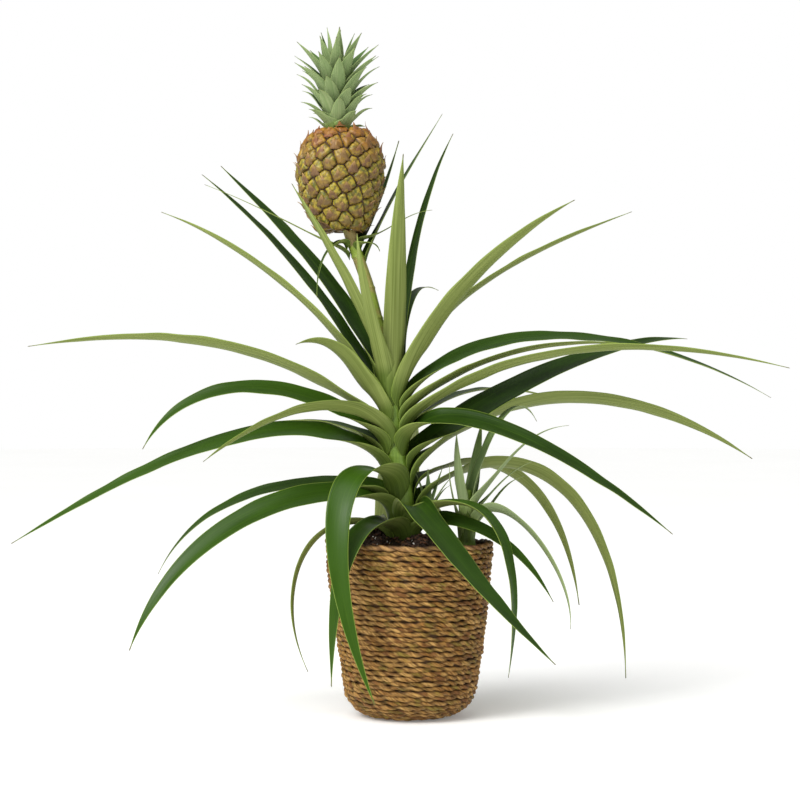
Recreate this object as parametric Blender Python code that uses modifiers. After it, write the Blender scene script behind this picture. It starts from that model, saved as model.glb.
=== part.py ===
"""A miniature pineapple plant in its grower's pot, standing in a seagrass basket.

The frame is in metres with +Z up. The origin is the middle of the basket's flat foot.
+X points to the viewer's right and -Y to the front. The plant has no joints: leaves, bracts,
fruit and crown grow on one short stem, and the pot only stands in the basket.
"""

import math
from collections import namedtuple

import bmesh
import bpy
import numpy as np
from mathutils import Matrix

# Fit between pieces that touch on the real plant.
GAP = 0.0003

# Basket: a tapering wall with a rounded corner at the foot.
BASKET_HEIGHT = 0.1425
BASKET_RIM_RADIUS = 0.068
BASKET_LOW_RADIUS = 0.0540
BASKET_CORNER = 0.0270
BASKET_WALL = 0.005
BASKET_BULGE = 0.0015

# Grower's pot inside the basket.
POT_HEIGHT = 0.126
POT_RIM_RADIUS = 0.0585
POT_FOOT_RADIUS = 0.038
POT_WALL = 0.0012
POT_LIP_HEIGHT = 0.010
POT_LIP_WIDTH = 0.002
DRAIN_HOLES = 6
DRAIN_HOLE_RADIUS = 0.004
DRAIN_CIRCLE_RADIUS = 0.026
DRILL_DEPTH = 0.008

# Potting soil: a plug that fills the pot and is heaped round the stem.
SOIL_BELOW_LIP = 0.004
SOIL_HEAP = 0.016
SOCKET_SLACK = 0.002
SOCKET_REACH = 0.06

# Main stem and the fruit stalk above it, as the points its axis passes through: (x, z).
AXIS_POINTS = (
    (-0.003, 0.120),
    (-0.006, 0.165),
    (-0.012, 0.215),
    (-0.014, 0.255),
    (-0.021, 0.295),
    (-0.034, 0.345),
    (-0.050, 0.390),
)
STEM_FOOT_Z = 0.125
STEM_TOP_Z = 0.272
STEM_FOOT_RADIUS = 0.0110
STEM_TOP_RADIUS = 0.0068
STALK_RADIUS = 0.0050
STALK_END_ROOM = 0.0022

# Fruit and crown, both leaning with the stalk.
FRUIT_X = -0.0555
FRUIT_FOOT_Z = 0.3885
FRUIT_HEIGHT = 0.079
FRUIT_RADIUS = 0.0350
CROWN_HEIGHT = 0.077
CROWN_RADIUS = 0.011
CROWN_LEAN_DEG = -3.0
CROWN_SPIKES = 22

# Side shoot to the right of the main stem.
PUP_X = 0.0455
PUP_Y = 0.004
PUP_FOOT_Z = 0.128
PUP_TOP_Z = 0.180
PUP_FOOT_RADIUS = 0.0075
PUP_TOP_RADIUS = 0.0040

# Leaf build.
LEAF_THICKNESS = 0.0010
LEAF_STATIONS = 14
LEAF_TIP_WIDTH = 0.0014
BASE_FOLD_DEG = 34.0
BLADE_FOLD_DEG = 17.0
BASE_SHARE = 0.22
TAPER = 2.3
ROOT_STANDOFF = 0.0022
GOLDEN_ANGLE_DEG = 137.508

# One leaf is a spring curve in an upright plane.
# turn: compass direction it leaves in, degrees from +X towards +Y (the back).
# root: height of its root on the axis. rise: slope at the root, degrees.
# reach: level distance of the tip from the axis. tip: height of the tip.
# fall: slope at the tip, degrees. width: widest part of the blade.
# base: width at the root. roll, tip_roll: turn about its own length, degrees, positive lifts
# its left edge. spring, ease: how far the two end slopes carry, as shares of the chord.
# sway: bow to its left, metres.
Leaf = namedtuple(
    "Leaf",
    "turn root rise reach tip fall width base roll tip_roll spring ease sway",
    defaults=(0.010, 0, 0, 0.36, 0.36, 0.0),
)

LOW_LEAVES = (
    Leaf(186, 0.146, 30, 0.077, 0.036, -115, 0.011, 0.008, 28, 28, 0.52, 0.62),
    Leaf(234, 0.150, 16, 0.094, 0.034, -95, 0.025, 0.012, 0, 0, 0.42, 0.74, 0.008),
    Leaf(333, 0.158, 30, 0.092, 0.036, -99, 0.024, 0.010, 0, 0, 0.58, 0.60),
    Leaf(345, 0.149, 30, 0.121, 0.094, -61, 0.019, 0.010, 25, 25, 0.30, 0.46),
    Leaf(104, 0.152, 8, 0.140, 0.060, -66, 0.020),
    Leaf(299, 0.165, 38, 0.221, 0.066, -28, 0.030, 0.010, 0, 0, 0.14, 0.52, -0.015),
    Leaf(70, 0.164, 20, 0.145, 0.060, -70, 0.020),
    Leaf(199, 0.170, 22, 0.220, 0.061, -70, 0.027, 0.012, -30, -45, 0.30, 0.42),
    Leaf(164, 0.177, 18, 0.209, 0.108, -63, 0.018, 0.012, -35, -35, 0.27, 0.41),
    Leaf(26, 0.170, 38, 0.211, 0.017, -89, 0.018, 0.010, -45, -15, 0.49, 0.62),
    Leaf(97, 0.182, 34, 0.175, 0.090, -60, 0.021),
    Leaf(42, 0.184, 25, 0.210, 0.074, -80, 0.014, 0.010, -30, -30, 0.45, 0.48),
    Leaf(260, 0.189, 28, 0.104, 0.024, -80, 0.024, 0.009, 0, 0, 0.46, 0.50, -0.044),
)
MIDDLE_LEAVES = (
    Leaf(187, 0.203, 40, 0.303, 0.140, -31, 0.026, 0.012, -30, -30, 0.30, 0.44),
    Leaf(16, 0.206, 38, 0.252, 0.303, -4, 0.028, 0.012, 40, 20, 0.36, 0.22),
    Leaf(333, 0.222, 52, 0.233, 0.152, -37, 0.025, 0.012, 35, 20, 0.22, 0.46),
    Leaf(25, 0.194, 44, 0.340, 0.201, -30, 0.023, 0.012, -35, -35, 0.36, 0.40),
    Leaf(148, 0.210, 38, 0.180, 0.215, -20, 0.019),
    Leaf(84, 0.216, 46, 0.200, 0.180, -36, 0.021),
    Leaf(190, 0.220, 44, 0.200, 0.214, -62, 0.023, 0.012, -35, -40, 0.34, 0.44),
    Leaf(216, 0.226, 46, 0.176, 0.206, -34, 0.021, 0.012, 20, 40, 0.36, 0.30),
    Leaf(353, 0.233, 42, 0.311, 0.277, -14, 0.017, 0.010, -25, -25, 0.34, 0.36),
    Leaf(1, 0.242, 44, 0.195, 0.296, -6, 0.015, 0.010, -20, -20, 0.34, 0.36),
    Leaf(46, 0.228, 34, 0.205, 0.252, -12, 0.019),
    Leaf(172, 0.233, 38, 0.303, 0.296, -8, 0.020, 0.012, 30, 30, 0.36, 0.42),
    Leaf(6, 0.251, 56, 0.310, 0.254, -30, 0.019, 0.010, 35, 20, 0.30, 0.40),
)
UPRIGHT_LEAVES = (
    Leaf(68, 0.260, 84, 0.105, 0.345, -8, 0.012, 0.008, 0, 0, 0.50, 0.50),
    Leaf(198, 0.243, 60, 0.080, 0.296, -22, 0.022, 0.012, 20, 40, 0.40, 0.40),
    Leaf(338, 0.258, 74, 0.152, 0.406, 25, 0.019, 0.009, -30, -30, 0.32, 0.30),
    Leaf(8, 0.2655, 70, 0.198, 0.405, 21, 0.017, 0.009, -20, -20, 0.34, 0.30),
    Leaf(292, 0.266, 86, 0.028, 0.445, 78, 0.021, 0.009, 0, 0, 0.34, 0.34),
    Leaf(38, 0.270, 84, 0.066, 0.470, 58, 0.015, 0.008, 0, 0, 0.34, 0.34),
    Leaf(177, 0.251, 62, 0.186, 0.403, 20, 0.016, 0.009, 25, 25, 0.34, 0.30),
    Leaf(164, 0.2585, 62, 0.162, 0.437, 38, 0.015, 0.008, -20, -20, 0.34, 0.30),
    Leaf(146, 0.272, 66, 0.172, 0.450, 40, 0.017, 0.008, -20, -20, 0.34, 0.30),
    Leaf(122, 0.254, 68, 0.085, 0.362, 40, 0.014, 0.008),
    Leaf(204, 0.286, 74, 0.080, 0.421, 58, 0.014, 0.008, 20, 20, 0.34, 0.30),
    Leaf(242, 0.272, 68, 0.052, 0.381, 84, 0.013, 0.007, 0, 0, 0.30, 0.30),
)
STALK_BRACTS = (
    Leaf(20, 0.366, 68, 0.072, 0.484, 58, 0.010, 0.005, 0, 0, 0.34, 0.34),
    Leaf(176, 0.370, 26, 0.122, 0.425, 21, 0.0050, 0.005),
    Leaf(205, 0.378, 2, 0.031, 0.334, -92, 0.0060, 0.005, 0, 0, 0.34, 0.44),
    Leaf(60, 0.376, 46, 0.072, 0.467, 62, 0.0055, 0.005),
    Leaf(352, 0.380, 10, 0.064, 0.403, 4, 0.0040, 0.004),
    Leaf(318, 0.376, 18, 0.028, 0.370, -66, 0.0055, 0.004),
)
PUP_LEAVES = (
    Leaf(340, 0.156, 60, 0.086, 0.072, -93, 0.013, 0.007, -35, -35, 0.33, 0.44),
    Leaf(20, 0.152, 40, 0.050, 0.190, 10, 0.006, 0.004),
    Leaf(190, 0.152, 84, 0.014, 0.200, 95, 0.007, 0.004),
    Leaf(12, 0.162, 46, 0.054, 0.202, 20, 0.005, 0.004),
    Leaf(336, 0.168, 50, 0.086, 0.232, 4, 0.009, 0.005),
    Leaf(215, 0.168, 84, 0.010, 0.226, 95, 0.014, 0.006),
    Leaf(60, 0.166, 80, 0.026, 0.235, 76, 0.013, 0.006),
    Leaf(22, 0.172, 86, 0.062, 0.235, -61, 0.015, 0.007, 0, 0, 0.42, 0.52),
)


def clear_scene():
    """Removes whatever the file opened with."""
    for old in list(bpy.data.objects):
        bpy.data.objects.remove(old, do_unlink=True)


def new_collection(name):
    collection = bpy.data.collections.new(name)
    bpy.context.scene.collection.children.link(collection)
    return collection


def material(name, colour, roughness, metallic=0.0):
    """A Principled material; colour is linear red, green, blue."""
    made = bpy.data.materials.new(name)
    made.use_nodes = True
    surface = made.node_tree.nodes["Principled BSDF"]
    surface.inputs["Base Color"].default_value = (*colour, 1.0)
    surface.inputs["Roughness"].default_value = roughness
    surface.inputs["Metallic"].default_value = metallic
    return made


def add_cutter(name, mesh):
    """A helper that shapes another piece and is not a piece itself."""
    made = bpy.data.objects.new(name, mesh)
    CUTTERS.objects.link(made)
    made.hide_render = True
    made.display_type = "WIRE"
    return made


def boolean(target, cutter, operation):
    cut = target.modifiers.new(operation.title(), "BOOLEAN")
    cut.operation = operation
    cut.solver = "EXACT"
    cut.object = cutter
    return cut


def turned(name, profile, collection, surface, steps=32):
    """A piece turned about its own Z axis from (radius, height) points, top to bottom outside."""
    mesh = bpy.data.meshes.new(name)
    points = [(radius, 0.0, height) for radius, height in profile]
    edges = [(i, i + 1) for i in range(len(points) - 1)]
    mesh.from_pydata(points, edges, [])
    made = bpy.data.objects.new(name, mesh)
    collection.objects.link(made)
    mesh.materials.append(surface)
    screw = made.modifiers.new("Turn", "SCREW")
    screw.axis = "Z"
    screw.steps = steps
    screw.render_steps = steps
    screw.use_merge_vertices = True
    screw.merge_threshold = 0.00001
    screw.use_smooth_shade = True
    return made


def arc(centre, radius, start_deg, end_deg, count):
    """Points of an arc in the (radius, height) plane."""
    angles = np.radians(np.linspace(start_deg, end_deg, count))
    return [
        (centre[0] + radius * math.cos(a), centre[1] + radius * math.sin(a)) for a in angles
    ]


def basket_radius(height):
    """Outer radius of the basket's wall above its rounded corner."""
    share = (height - BASKET_CORNER) / (BASKET_HEIGHT - BASKET_CORNER)
    straight = BASKET_LOW_RADIUS + (BASKET_RIM_RADIUS - BASKET_LOW_RADIUS) * share
    return straight + BASKET_BULGE * math.sin(math.pi * share)


def build_basket(collection, surface):
    """Wall, rounded corner and flat foot as one shell, open at the top."""
    inner_corner = BASKET_CORNER - BASKET_WALL
    corner_x = BASKET_LOW_RADIUS - BASKET_CORNER
    heights = np.linspace(BASKET_HEIGHT - BASKET_WALL / 2, BASKET_CORNER, 7)
    rim_centre = (BASKET_RIM_RADIUS - BASKET_WALL / 2, BASKET_HEIGHT - BASKET_WALL / 2)
    profile = [(basket_radius(z), z) for z in heights]
    profile += arc((corner_x, BASKET_CORNER), BASKET_CORNER, 0, -90, 7)[1:]
    profile += [(0.0, 0.0), (0.0, BASKET_WALL)]
    profile += arc((corner_x, BASKET_CORNER), inner_corner, -90, 0, 7)
    profile += [(basket_radius(z) - BASKET_WALL, z) for z in heights[::-1]][1:]
    profile += arc(rim_centre, BASKET_WALL / 2, 180, 0, 5)[1:-1]
    profile.append(profile[0])
    return turned("basket", profile, collection, surface)


def pot_radius(height):
    """Outer radius of the pot's plain wall, at a height above the pot's own foot."""
    share = height / POT_HEIGHT
    top_radius = POT_RIM_RADIUS - POT_LIP_WIDTH
    return POT_FOOT_RADIUS + (top_radius - POT_FOOT_RADIUS) * share


def pot_seat():
    """Height at which the pot's foot meets the rounded inside corner of the basket."""
    inner_corner = BASKET_CORNER - BASKET_WALL
    overhang = max(0.0, POT_FOOT_RADIUS - (BASKET_LOW_RADIUS - BASKET_CORNER))
    return BASKET_CORNER - math.sqrt(inner_corner**2 - overhang**2) + 2 * GAP


def build_pot(collection, surface):
    """Thin tapering pot with a rolled lip and a ring of drain holes in its floor."""
    floor_z = pot_seat()
    lip_z = POT_HEIGHT - POT_LIP_HEIGHT
    profile = [
        (POT_RIM_RADIUS, POT_HEIGHT),
        (POT_RIM_RADIUS, lip_z),
        (pot_radius(lip_z), lip_z),
        (POT_FOOT_RADIUS, 0.0),
        (0.0, 0.0),
        (0.0, POT_WALL),
        (POT_FOOT_RADIUS - POT_WALL, POT_WALL),
        (pot_radius(lip_z) - POT_WALL, lip_z),
        (POT_RIM_RADIUS - POT_WALL, lip_z + POT_LIP_WIDTH),
        (POT_RIM_RADIUS - POT_WALL, POT_HEIGHT),
        (POT_RIM_RADIUS, POT_HEIGHT),
    ]
    pot = turned("nursery_pot", profile, collection, surface)
    pot.location = (0.0, 0.0, floor_z)
    drill = bmesh.new()
    for index in range(DRAIN_HOLES):
        angle = 2 * math.pi * index / DRAIN_HOLES
        hole = bmesh.ops.create_cone(
            drill,
            cap_ends=True,
            segments=10,
            radius1=DRAIN_HOLE_RADIUS,
            radius2=DRAIN_HOLE_RADIUS,
            depth=DRILL_DEPTH,
        )
        place = (
            DRAIN_CIRCLE_RADIUS * math.cos(angle),
            DRAIN_CIRCLE_RADIUS * math.sin(angle),
            floor_z,
        )
        bmesh.ops.translate(drill, verts=hole["verts"], vec=place)
    mesh = bpy.data.meshes.new("drain_drill")
    drill.to_mesh(mesh)
    drill.free()
    boolean(pot, add_cutter("drain_drill", mesh), "DIFFERENCE")
    return pot


def socket_cutter(name, x, y, foot_z, radius):
    """A round hole for a stem's foot, with the fit all round and below it."""
    cutter = bmesh.new()
    bmesh.ops.create_cone(
        cutter, cap_ends=True, segments=16, radius1=radius, radius2=radius, depth=SOCKET_REACH
    )
    middle = foot_z - SOCKET_SLACK + SOCKET_REACH / 2
    bmesh.ops.translate(cutter, verts=cutter.verts, vec=(x, y, middle))
    mesh = bpy.data.meshes.new(name)
    cutter.to_mesh(mesh)
    cutter.free()
    return add_cutter(name, mesh)


def build_soil(collection, surface):
    """The root ball: fills the pot, heaped towards the stem, with a socket for each stem."""
    floor_z = pot_seat() + POT_WALL + GAP
    edge_z = pot_seat() + POT_HEIGHT - SOIL_BELOW_LIP
    bottom_radius = POT_FOOT_RADIUS - POT_WALL - GAP * 2
    lip_z = pot_seat() + POT_HEIGHT - POT_LIP_HEIGHT
    lip_radius = pot_radius(POT_HEIGHT - POT_LIP_HEIGHT) - POT_WALL - GAP * 2
    heap = [
        (lip_radius * share, edge_z + SOIL_HEAP * math.cos(math.pi / 2 * share) ** 2)
        for share in np.linspace(0.0, 1.0, 8)
    ]
    profile = heap + [(lip_radius, lip_z), (bottom_radius, floor_z), (0.0, floor_z)]
    soil = turned("soil", profile, collection, surface)
    main_x = axis_point(STEM_FOOT_Z)[0]
    main_hole = STEM_FOOT_RADIUS + SOCKET_SLACK
    hole = socket_cutter("stem_socket", main_x, 0.0, STEM_FOOT_Z, main_hole)
    boolean(soil, hole, "DIFFERENCE")
    pup_hole = PUP_FOOT_RADIUS + SOCKET_SLACK
    hole = socket_cutter("pup_socket", PUP_X, PUP_Y, PUP_FOOT_Z, pup_hole)
    boolean(soil, hole, "DIFFERENCE")
    return soil


def axis_point(height):
    """The point of the stem's and stalk's axis at this height."""
    xs = [point[0] for point in AXIS_POINTS]
    zs = [point[1] for point in AXIS_POINTS]
    return np.array((np.interp(height, zs, xs), 0.0, height))


def stalk_tube(name, points, radii, collection, surface):
    """A round stalk along its points, as a curve with filled ends."""
    curve = bpy.data.curves.new(name, "CURVE")
    curve.dimensions = "3D"
    curve.bevel_depth = 1.0
    curve.bevel_resolution = 3
    curve.use_fill_caps = True
    spline = curve.splines.new("POLY")
    spline.points.add(len(points) - 1)
    for point, place, radius in zip(spline.points, points, radii):
        point.co = (*place, 1.0)
        point.radius = radius
    curve.materials.append(surface)
    collection.objects.link(bpy.data.objects.new(name, curve))


def build_stem(collection, surface):
    """The short stem, rooted in the soil and leaning towards the fruit."""
    heights = np.linspace(STEM_FOOT_Z, STEM_TOP_Z, 8)
    radii = np.linspace(STEM_FOOT_RADIUS, STEM_TOP_RADIUS, 8)
    stalk_tube("stem", [axis_point(z) for z in heights], radii, collection, surface)


def build_stalk(collection, surface):
    """The fruit stalk, from just above the stem to just under the fruit."""
    heights = np.linspace(STEM_TOP_Z + 2 * STALK_END_ROOM, FRUIT_FOOT_Z - STALK_END_ROOM, 9)
    radii = [STALK_RADIUS] * 9
    stalk_tube("fruit_stalk", [axis_point(z) for z in heights], radii, collection, surface)


def build_fruit(collection, surface):
    """The fruit as one turned barrel, flattened at both ends."""
    profile = []
    for share in np.linspace(1.0, 0.0, 13):
        fullness = math.sin(math.pi * (0.06 + 0.88 * share)) ** 0.44
        profile.append((FRUIT_RADIUS * fullness, FRUIT_HEIGHT * share))
    profile = [(0.0, FRUIT_HEIGHT)] + profile + [(0.0, 0.0)]
    fruit = turned("fruit", profile, collection, surface, steps=24)
    fruit.location = (FRUIT_X, 0.0, FRUIT_FOOT_Z)
    return fruit


def leaf_curve(leaf, axis, skin, shares):
    """Midrib points and directions of a leaf: a cubic spring curve from its root to its tip.

    axis is the point of the stem's axis at the root, skin the stem's radius there, and
    shares run from 0 at the root to 1 at the tip.
    """
    turn = math.radians(leaf.turn)
    outward = np.array((math.cos(turn), math.sin(turn), 0.0))
    up = np.array((0.0, 0.0, 1.0))
    left = np.cross(up, outward)
    rise = math.radians(leaf.rise)
    fall = math.radians(leaf.fall)
    start = axis + outward * skin
    tip = axis + outward * leaf.reach + up * (leaf.tip - axis[2])
    chord = np.linalg.norm(tip - start)
    bow = left * leaf.sway
    first = start + chord * leaf.spring * (outward * math.cos(rise) + up * math.sin(rise)) + bow
    last = tip - chord * leaf.ease * (outward * math.cos(fall) + up * math.sin(fall)) + bow
    s = shares[:, None]
    places = start * (1 - s) ** 3 + 3 * first * s * (1 - s) ** 2
    places = places + 3 * last * s**2 * (1 - s) + tip * s**3
    ahead = (first - start) * (1 - s) ** 2 + 2 * (last - first) * s * (1 - s) + (tip - last) * s**2
    ahead = ahead / np.linalg.norm(ahead, axis=1)[:, None]
    return places, ahead, left


def leaf_sides(leaf, ahead, left, shares):
    """Unit vectors across the blade to its left edge, and out of its upper side."""
    across = left - ahead * (ahead @ left)[:, None]
    across = across / np.linalg.norm(across, axis=1)[:, None]
    upper = np.cross(ahead, across)
    roll = np.radians(leaf.roll + (leaf.tip_roll - leaf.roll) * shares) * np.minimum(1, shares * 5)
    cos, sin = np.cos(roll)[:, None], np.sin(roll)[:, None]
    return across * cos + upper * sin, upper * cos - across * sin


def leaf_width(leaf, shares):
    """Full width along the blade: it widens from the root, then tapers to a long tip."""
    opening = np.clip(shares / BASE_SHARE, 0.0, 1.0)
    opening = opening * opening * (3 - 2 * opening)
    width = leaf.base + (leaf.width - leaf.base) * opening
    return np.maximum(width * (1 - shares**TAPER), LEAF_TIP_WIDTH)


def build_leaf(name, leaf, axis, skin, collection, surface):
    """A folded blade: a flat grid bent to the leaf's curve, then thickened."""
    shares = np.linspace(0.0, 1.0, LEAF_STATIONS) ** 1.1
    places, ahead, left = leaf_curve(leaf, axis, skin, shares)
    across, upper = leaf_sides(leaf, ahead, left, shares)
    half = leaf_width(leaf, shares) / 2
    fold = np.radians(
        BLADE_FOLD_DEG + (BASE_FOLD_DEG - BLADE_FOLD_DEG) * np.exp(-shares / BASE_SHARE)
    )
    blade = bmesh.new()
    bmesh.ops.create_grid(blade, x_segments=2, y_segments=LEAF_STATIONS - 1, size=1.0)
    for vert in blade.verts:
        side = -round(vert.co.x)
        row = round((vert.co.y + 1) / 2 * (LEAF_STATIONS - 1))
        level = across[row] * side * math.cos(fold[row])
        lift = upper[row] * abs(side) * math.sin(fold[row])
        vert.co = places[row] + (level + lift) * half[row]
    mesh = bpy.data.meshes.new(name)
    blade.to_mesh(mesh)
    blade.free()
    mesh.materials.append(surface)
    mesh.shade_smooth()
    made = bpy.data.objects.new(name, mesh)
    collection.objects.link(made)
    thicken = made.modifiers.new("Thickness", "SOLIDIFY")
    thicken.thickness = LEAF_THICKNESS
    thicken.offset = 0.0
    return made


def stem_radius(height):
    """Radius of the main stem, or of the stalk above it, at this height."""
    if height > STEM_TOP_Z:
        return STALK_RADIUS
    share = (height - STEM_FOOT_Z) / (STEM_TOP_Z - STEM_FOOT_Z)
    return STEM_FOOT_RADIUS + (STEM_TOP_RADIUS - STEM_FOOT_RADIUS) * share


def build_leaf_group(prefix, leaves, collection, surface):
    """Leaves of the main plant, numbered from the lowest, each rooted just off the stem."""
    for number, leaf in enumerate(leaves, 1):
        axis = axis_point(leaf.root)
        skin = stem_radius(leaf.root) + ROOT_STANDOFF
        build_leaf(f"{prefix}_{number:02d}", leaf, axis, skin, collection, surface)


def build_pup(collection, surface):
    """The side shoot: a short stem of its own with thin leaves."""
    heights = np.linspace(PUP_FOOT_Z, PUP_TOP_Z, 5)
    radii = np.linspace(PUP_FOOT_RADIUS, PUP_TOP_RADIUS, 5)
    points = [(PUP_X, PUP_Y, z) for z in heights]
    stalk_tube("pup_stem", points, radii, collection, surface)
    for number, leaf in enumerate(PUP_LEAVES, 1):
        share = (leaf.root - PUP_FOOT_Z) / (PUP_TOP_Z - PUP_FOOT_Z)
        skin = PUP_FOOT_RADIUS + (PUP_TOP_RADIUS - PUP_FOOT_RADIUS) * share + ROOT_STANDOFF
        axis = np.array((PUP_X, PUP_Y, leaf.root))
        build_leaf(f"pup_leaf_{number:02d}", leaf, axis, skin, collection, surface)


def crown_spike(turn_deg, height, length, rise_deg, width):
    """One crown leaf: a four-sided spike, thick at its root, bent a little outwards."""
    spike = bmesh.new()
    bmesh.ops.create_cone(
        spike, cap_ends=True, segments=4, radius1=width / 2, radius2=0.0004, depth=length
    )
    bmesh.ops.translate(spike, verts=spike.verts, vec=(0, 0, length / 2))
    lean = math.radians(90 - rise_deg)
    turn = math.radians(turn_deg)
    bmesh.ops.rotate(spike, verts=spike.verts, matrix=Matrix.Rotation(lean, 3, "Y"))
    bmesh.ops.rotate(spike, verts=spike.verts, matrix=Matrix.Rotation(turn, 3, "Z"))
    bmesh.ops.translate(spike, verts=spike.verts, vec=(0, 0, height))
    mesh = bpy.data.meshes.new("crown_spike")
    spike.to_mesh(mesh)
    spike.free()
    return mesh


def build_crown(collection, surface):
    """The tuft on the fruit: a tapering core with spikes in a golden-angle spiral, as one body."""
    profile = [(0.0, CROWN_HEIGHT * 0.80), (CROWN_RADIUS * 0.35, CROWN_HEIGHT * 0.72)]
    profile += [(CROWN_RADIUS, CROWN_HEIGHT * 0.30), (CROWN_RADIUS, 0.0), (0.0, 0.0)]
    crown = turned("crown", profile, collection, surface, steps=12)
    crown.location = (FRUIT_X, 0.0, FRUIT_FOOT_Z + FRUIT_HEIGHT + GAP * 2)
    crown.rotation_euler = (0.0, math.radians(CROWN_LEAN_DEG), 0.0)
    for index in range(CROWN_SPIKES):
        share = index / (CROWN_SPIKES - 1)
        mesh = crown_spike(
            GOLDEN_ANGLE_DEG * index,
            CROWN_HEIGHT * (0.08 + 0.44 * share),
            CROWN_HEIGHT * (0.42 + 0.12 * share),
            24 + 56 * share,
            CROWN_RADIUS * 0.85,
        )
        spike = add_cutter(f"crown_spike_{index + 1:02d}", mesh)
        spike.parent = crown
        boolean(crown, spike, "UNION")
    return crown


clear_scene()
PARTS = new_collection("pineapple_plant_in_basket")
CUTTERS = new_collection("cutters")
SEAGRASS = material("seagrass", (0.33, 0.20, 0.085), 0.8)
BLACK_PLASTIC = material("black_plastic", (0.02, 0.02, 0.02), 0.45)
POTTING_SOIL = material("potting_soil", (0.035, 0.018, 0.009), 0.95)
STEM_GREEN = material("stem_tissue", (0.30, 0.38, 0.08), 0.5)
LEAF_GREEN = material("leaf", (0.06, 0.16, 0.02), 0.35)
FRUIT_RIND = material("fruit_rind", (0.42, 0.30, 0.06), 0.55)
CROWN_GREEN = material("crown_leaf", (0.17, 0.26, 0.11), 0.5)

build_basket(PARTS, SEAGRASS)
build_pot(PARTS, BLACK_PLASTIC)
build_soil(PARTS, POTTING_SOIL)
build_stem(PARTS, STEM_GREEN)
build_stalk(PARTS, STEM_GREEN)
build_leaf_group("low_leaf", LOW_LEAVES, PARTS, LEAF_GREEN)
build_leaf_group("middle_leaf", MIDDLE_LEAVES, PARTS, LEAF_GREEN)
build_leaf_group("upright_leaf", UPRIGHT_LEAVES, PARTS, LEAF_GREEN)
build_leaf_group("stalk_bract", STALK_BRACTS, PARTS, LEAF_GREEN)
build_pup(PARTS, LEAF_GREEN)
build_fruit(PARTS, FRUIT_RIND)
build_crown(PARTS, CROWN_GREEN)
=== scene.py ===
import math
from collections import namedtuple

import bpy
import numpy as np
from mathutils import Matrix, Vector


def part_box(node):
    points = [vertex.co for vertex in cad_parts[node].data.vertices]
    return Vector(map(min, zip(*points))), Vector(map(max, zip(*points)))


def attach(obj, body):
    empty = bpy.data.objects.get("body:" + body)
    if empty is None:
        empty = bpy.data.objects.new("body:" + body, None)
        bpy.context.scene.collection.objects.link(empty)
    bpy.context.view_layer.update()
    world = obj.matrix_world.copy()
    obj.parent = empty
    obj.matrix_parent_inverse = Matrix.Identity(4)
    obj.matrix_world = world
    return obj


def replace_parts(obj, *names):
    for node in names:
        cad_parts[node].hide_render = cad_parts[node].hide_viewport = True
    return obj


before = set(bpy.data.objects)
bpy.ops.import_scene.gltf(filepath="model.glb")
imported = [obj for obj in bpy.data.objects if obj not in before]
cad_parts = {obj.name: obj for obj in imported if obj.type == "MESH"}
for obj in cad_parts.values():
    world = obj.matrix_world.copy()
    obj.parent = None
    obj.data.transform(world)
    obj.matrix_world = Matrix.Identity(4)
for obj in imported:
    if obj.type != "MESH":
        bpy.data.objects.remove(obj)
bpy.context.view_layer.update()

# Camera: level with the middle of the plant, a little left of the basket's axis,
# 1.6 m in front of it, with a 90 mm lens on a 36 mm sensor.
lens_view = bpy.data.cameras.new("plant_camera")
lens_view.lens = 90.0
lens_view.sensor_width = 36.0
camera = bpy.data.objects.new("plant_camera", lens_view)
camera.location = (-0.008, -1.6, 0.252)
camera.rotation_euler = (math.radians(90.0), 0.0, 0.0)
bpy.context.scene.collection.objects.link(camera)
bpy.context.scene.camera = camera


# Basket: one long two-ply cord of twisted dried seagrass, coiled from the rim down the wall,
# round the corner and in to the middle of the foot. Each course is fixed to the one above it.
BASKET_HEIGHT = 0.1425
BASKET_RIM_RADIUS = 0.068
BASKET_LOW_RADIUS = 0.0540
BASKET_CORNER = 0.0270
BASKET_BULGE = 0.0015
COURSE_PITCH = 0.00395
CORD_RADIUS = 0.0027
PLY_RADIUS = 0.00196
PLY_OFFSET = 0.00090
PRESSED = 0.90
PLY_SIDES = 8
TWIST_PITCH = 0.0195
CORD_STEP = 0.00135
SEAGRASS_COLOURS = {
    "straw": "#DAAE66",
    "tan": "#A87836",
    "brown": "#613C12",
    "olive": "#947F36",
    "russet": "#8E6032",
    "shadow": "#3C2408",
}


def linear(hex_colour):
    """A colour given as sRGB hex, as linear red, green and blue with alpha 1.

    Each channel over 12.92 where it is dark, and ((c + 0.055) / 1.055) to the 2.4 elsewhere.
    """
    parts = [int(hex_colour[start : start + 2], 16) / 255 for start in (1, 3, 5)]
    curve = [c / 12.92 if c <= 0.04045 else ((c + 0.055) / 1.055) ** 2.4 for c in parts]
    return (*curve, 1.0)


def add(tree, kind, sockets=None, **settings):
    """Adds a node of this kind, with its settings, and fills its sockets with values or links."""
    made = tree.nodes.new("ShaderNode" + kind)
    for name, value in settings.items():
        setattr(made, name, value)
    for name, value in (sockets or {}).items():
        if isinstance(value, bpy.types.NodeSocket):
            tree.links.new(value, made.inputs[name])
        else:
            made.inputs[name].default_value = value
    return made


def new_finish(name, **fixed):
    """A material, its node tree and its surface shader, with the shader's fixed values set."""
    made = bpy.data.materials.new(name)
    made.use_nodes = True
    shader = made.node_tree.nodes["Principled BSDF"]
    for socket, value in fixed.items():
        shader.inputs[socket.replace("_", " ")].default_value = value
    return made, made.node_tree, shader


def smooth_step(low, high, values):
    """0 below low, 1 above high, and 3x² - 2x³ between them."""
    share = np.clip((values - low) / (high - low), 0.0, 1.0)
    return share * share * (3 - 2 * share)


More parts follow.
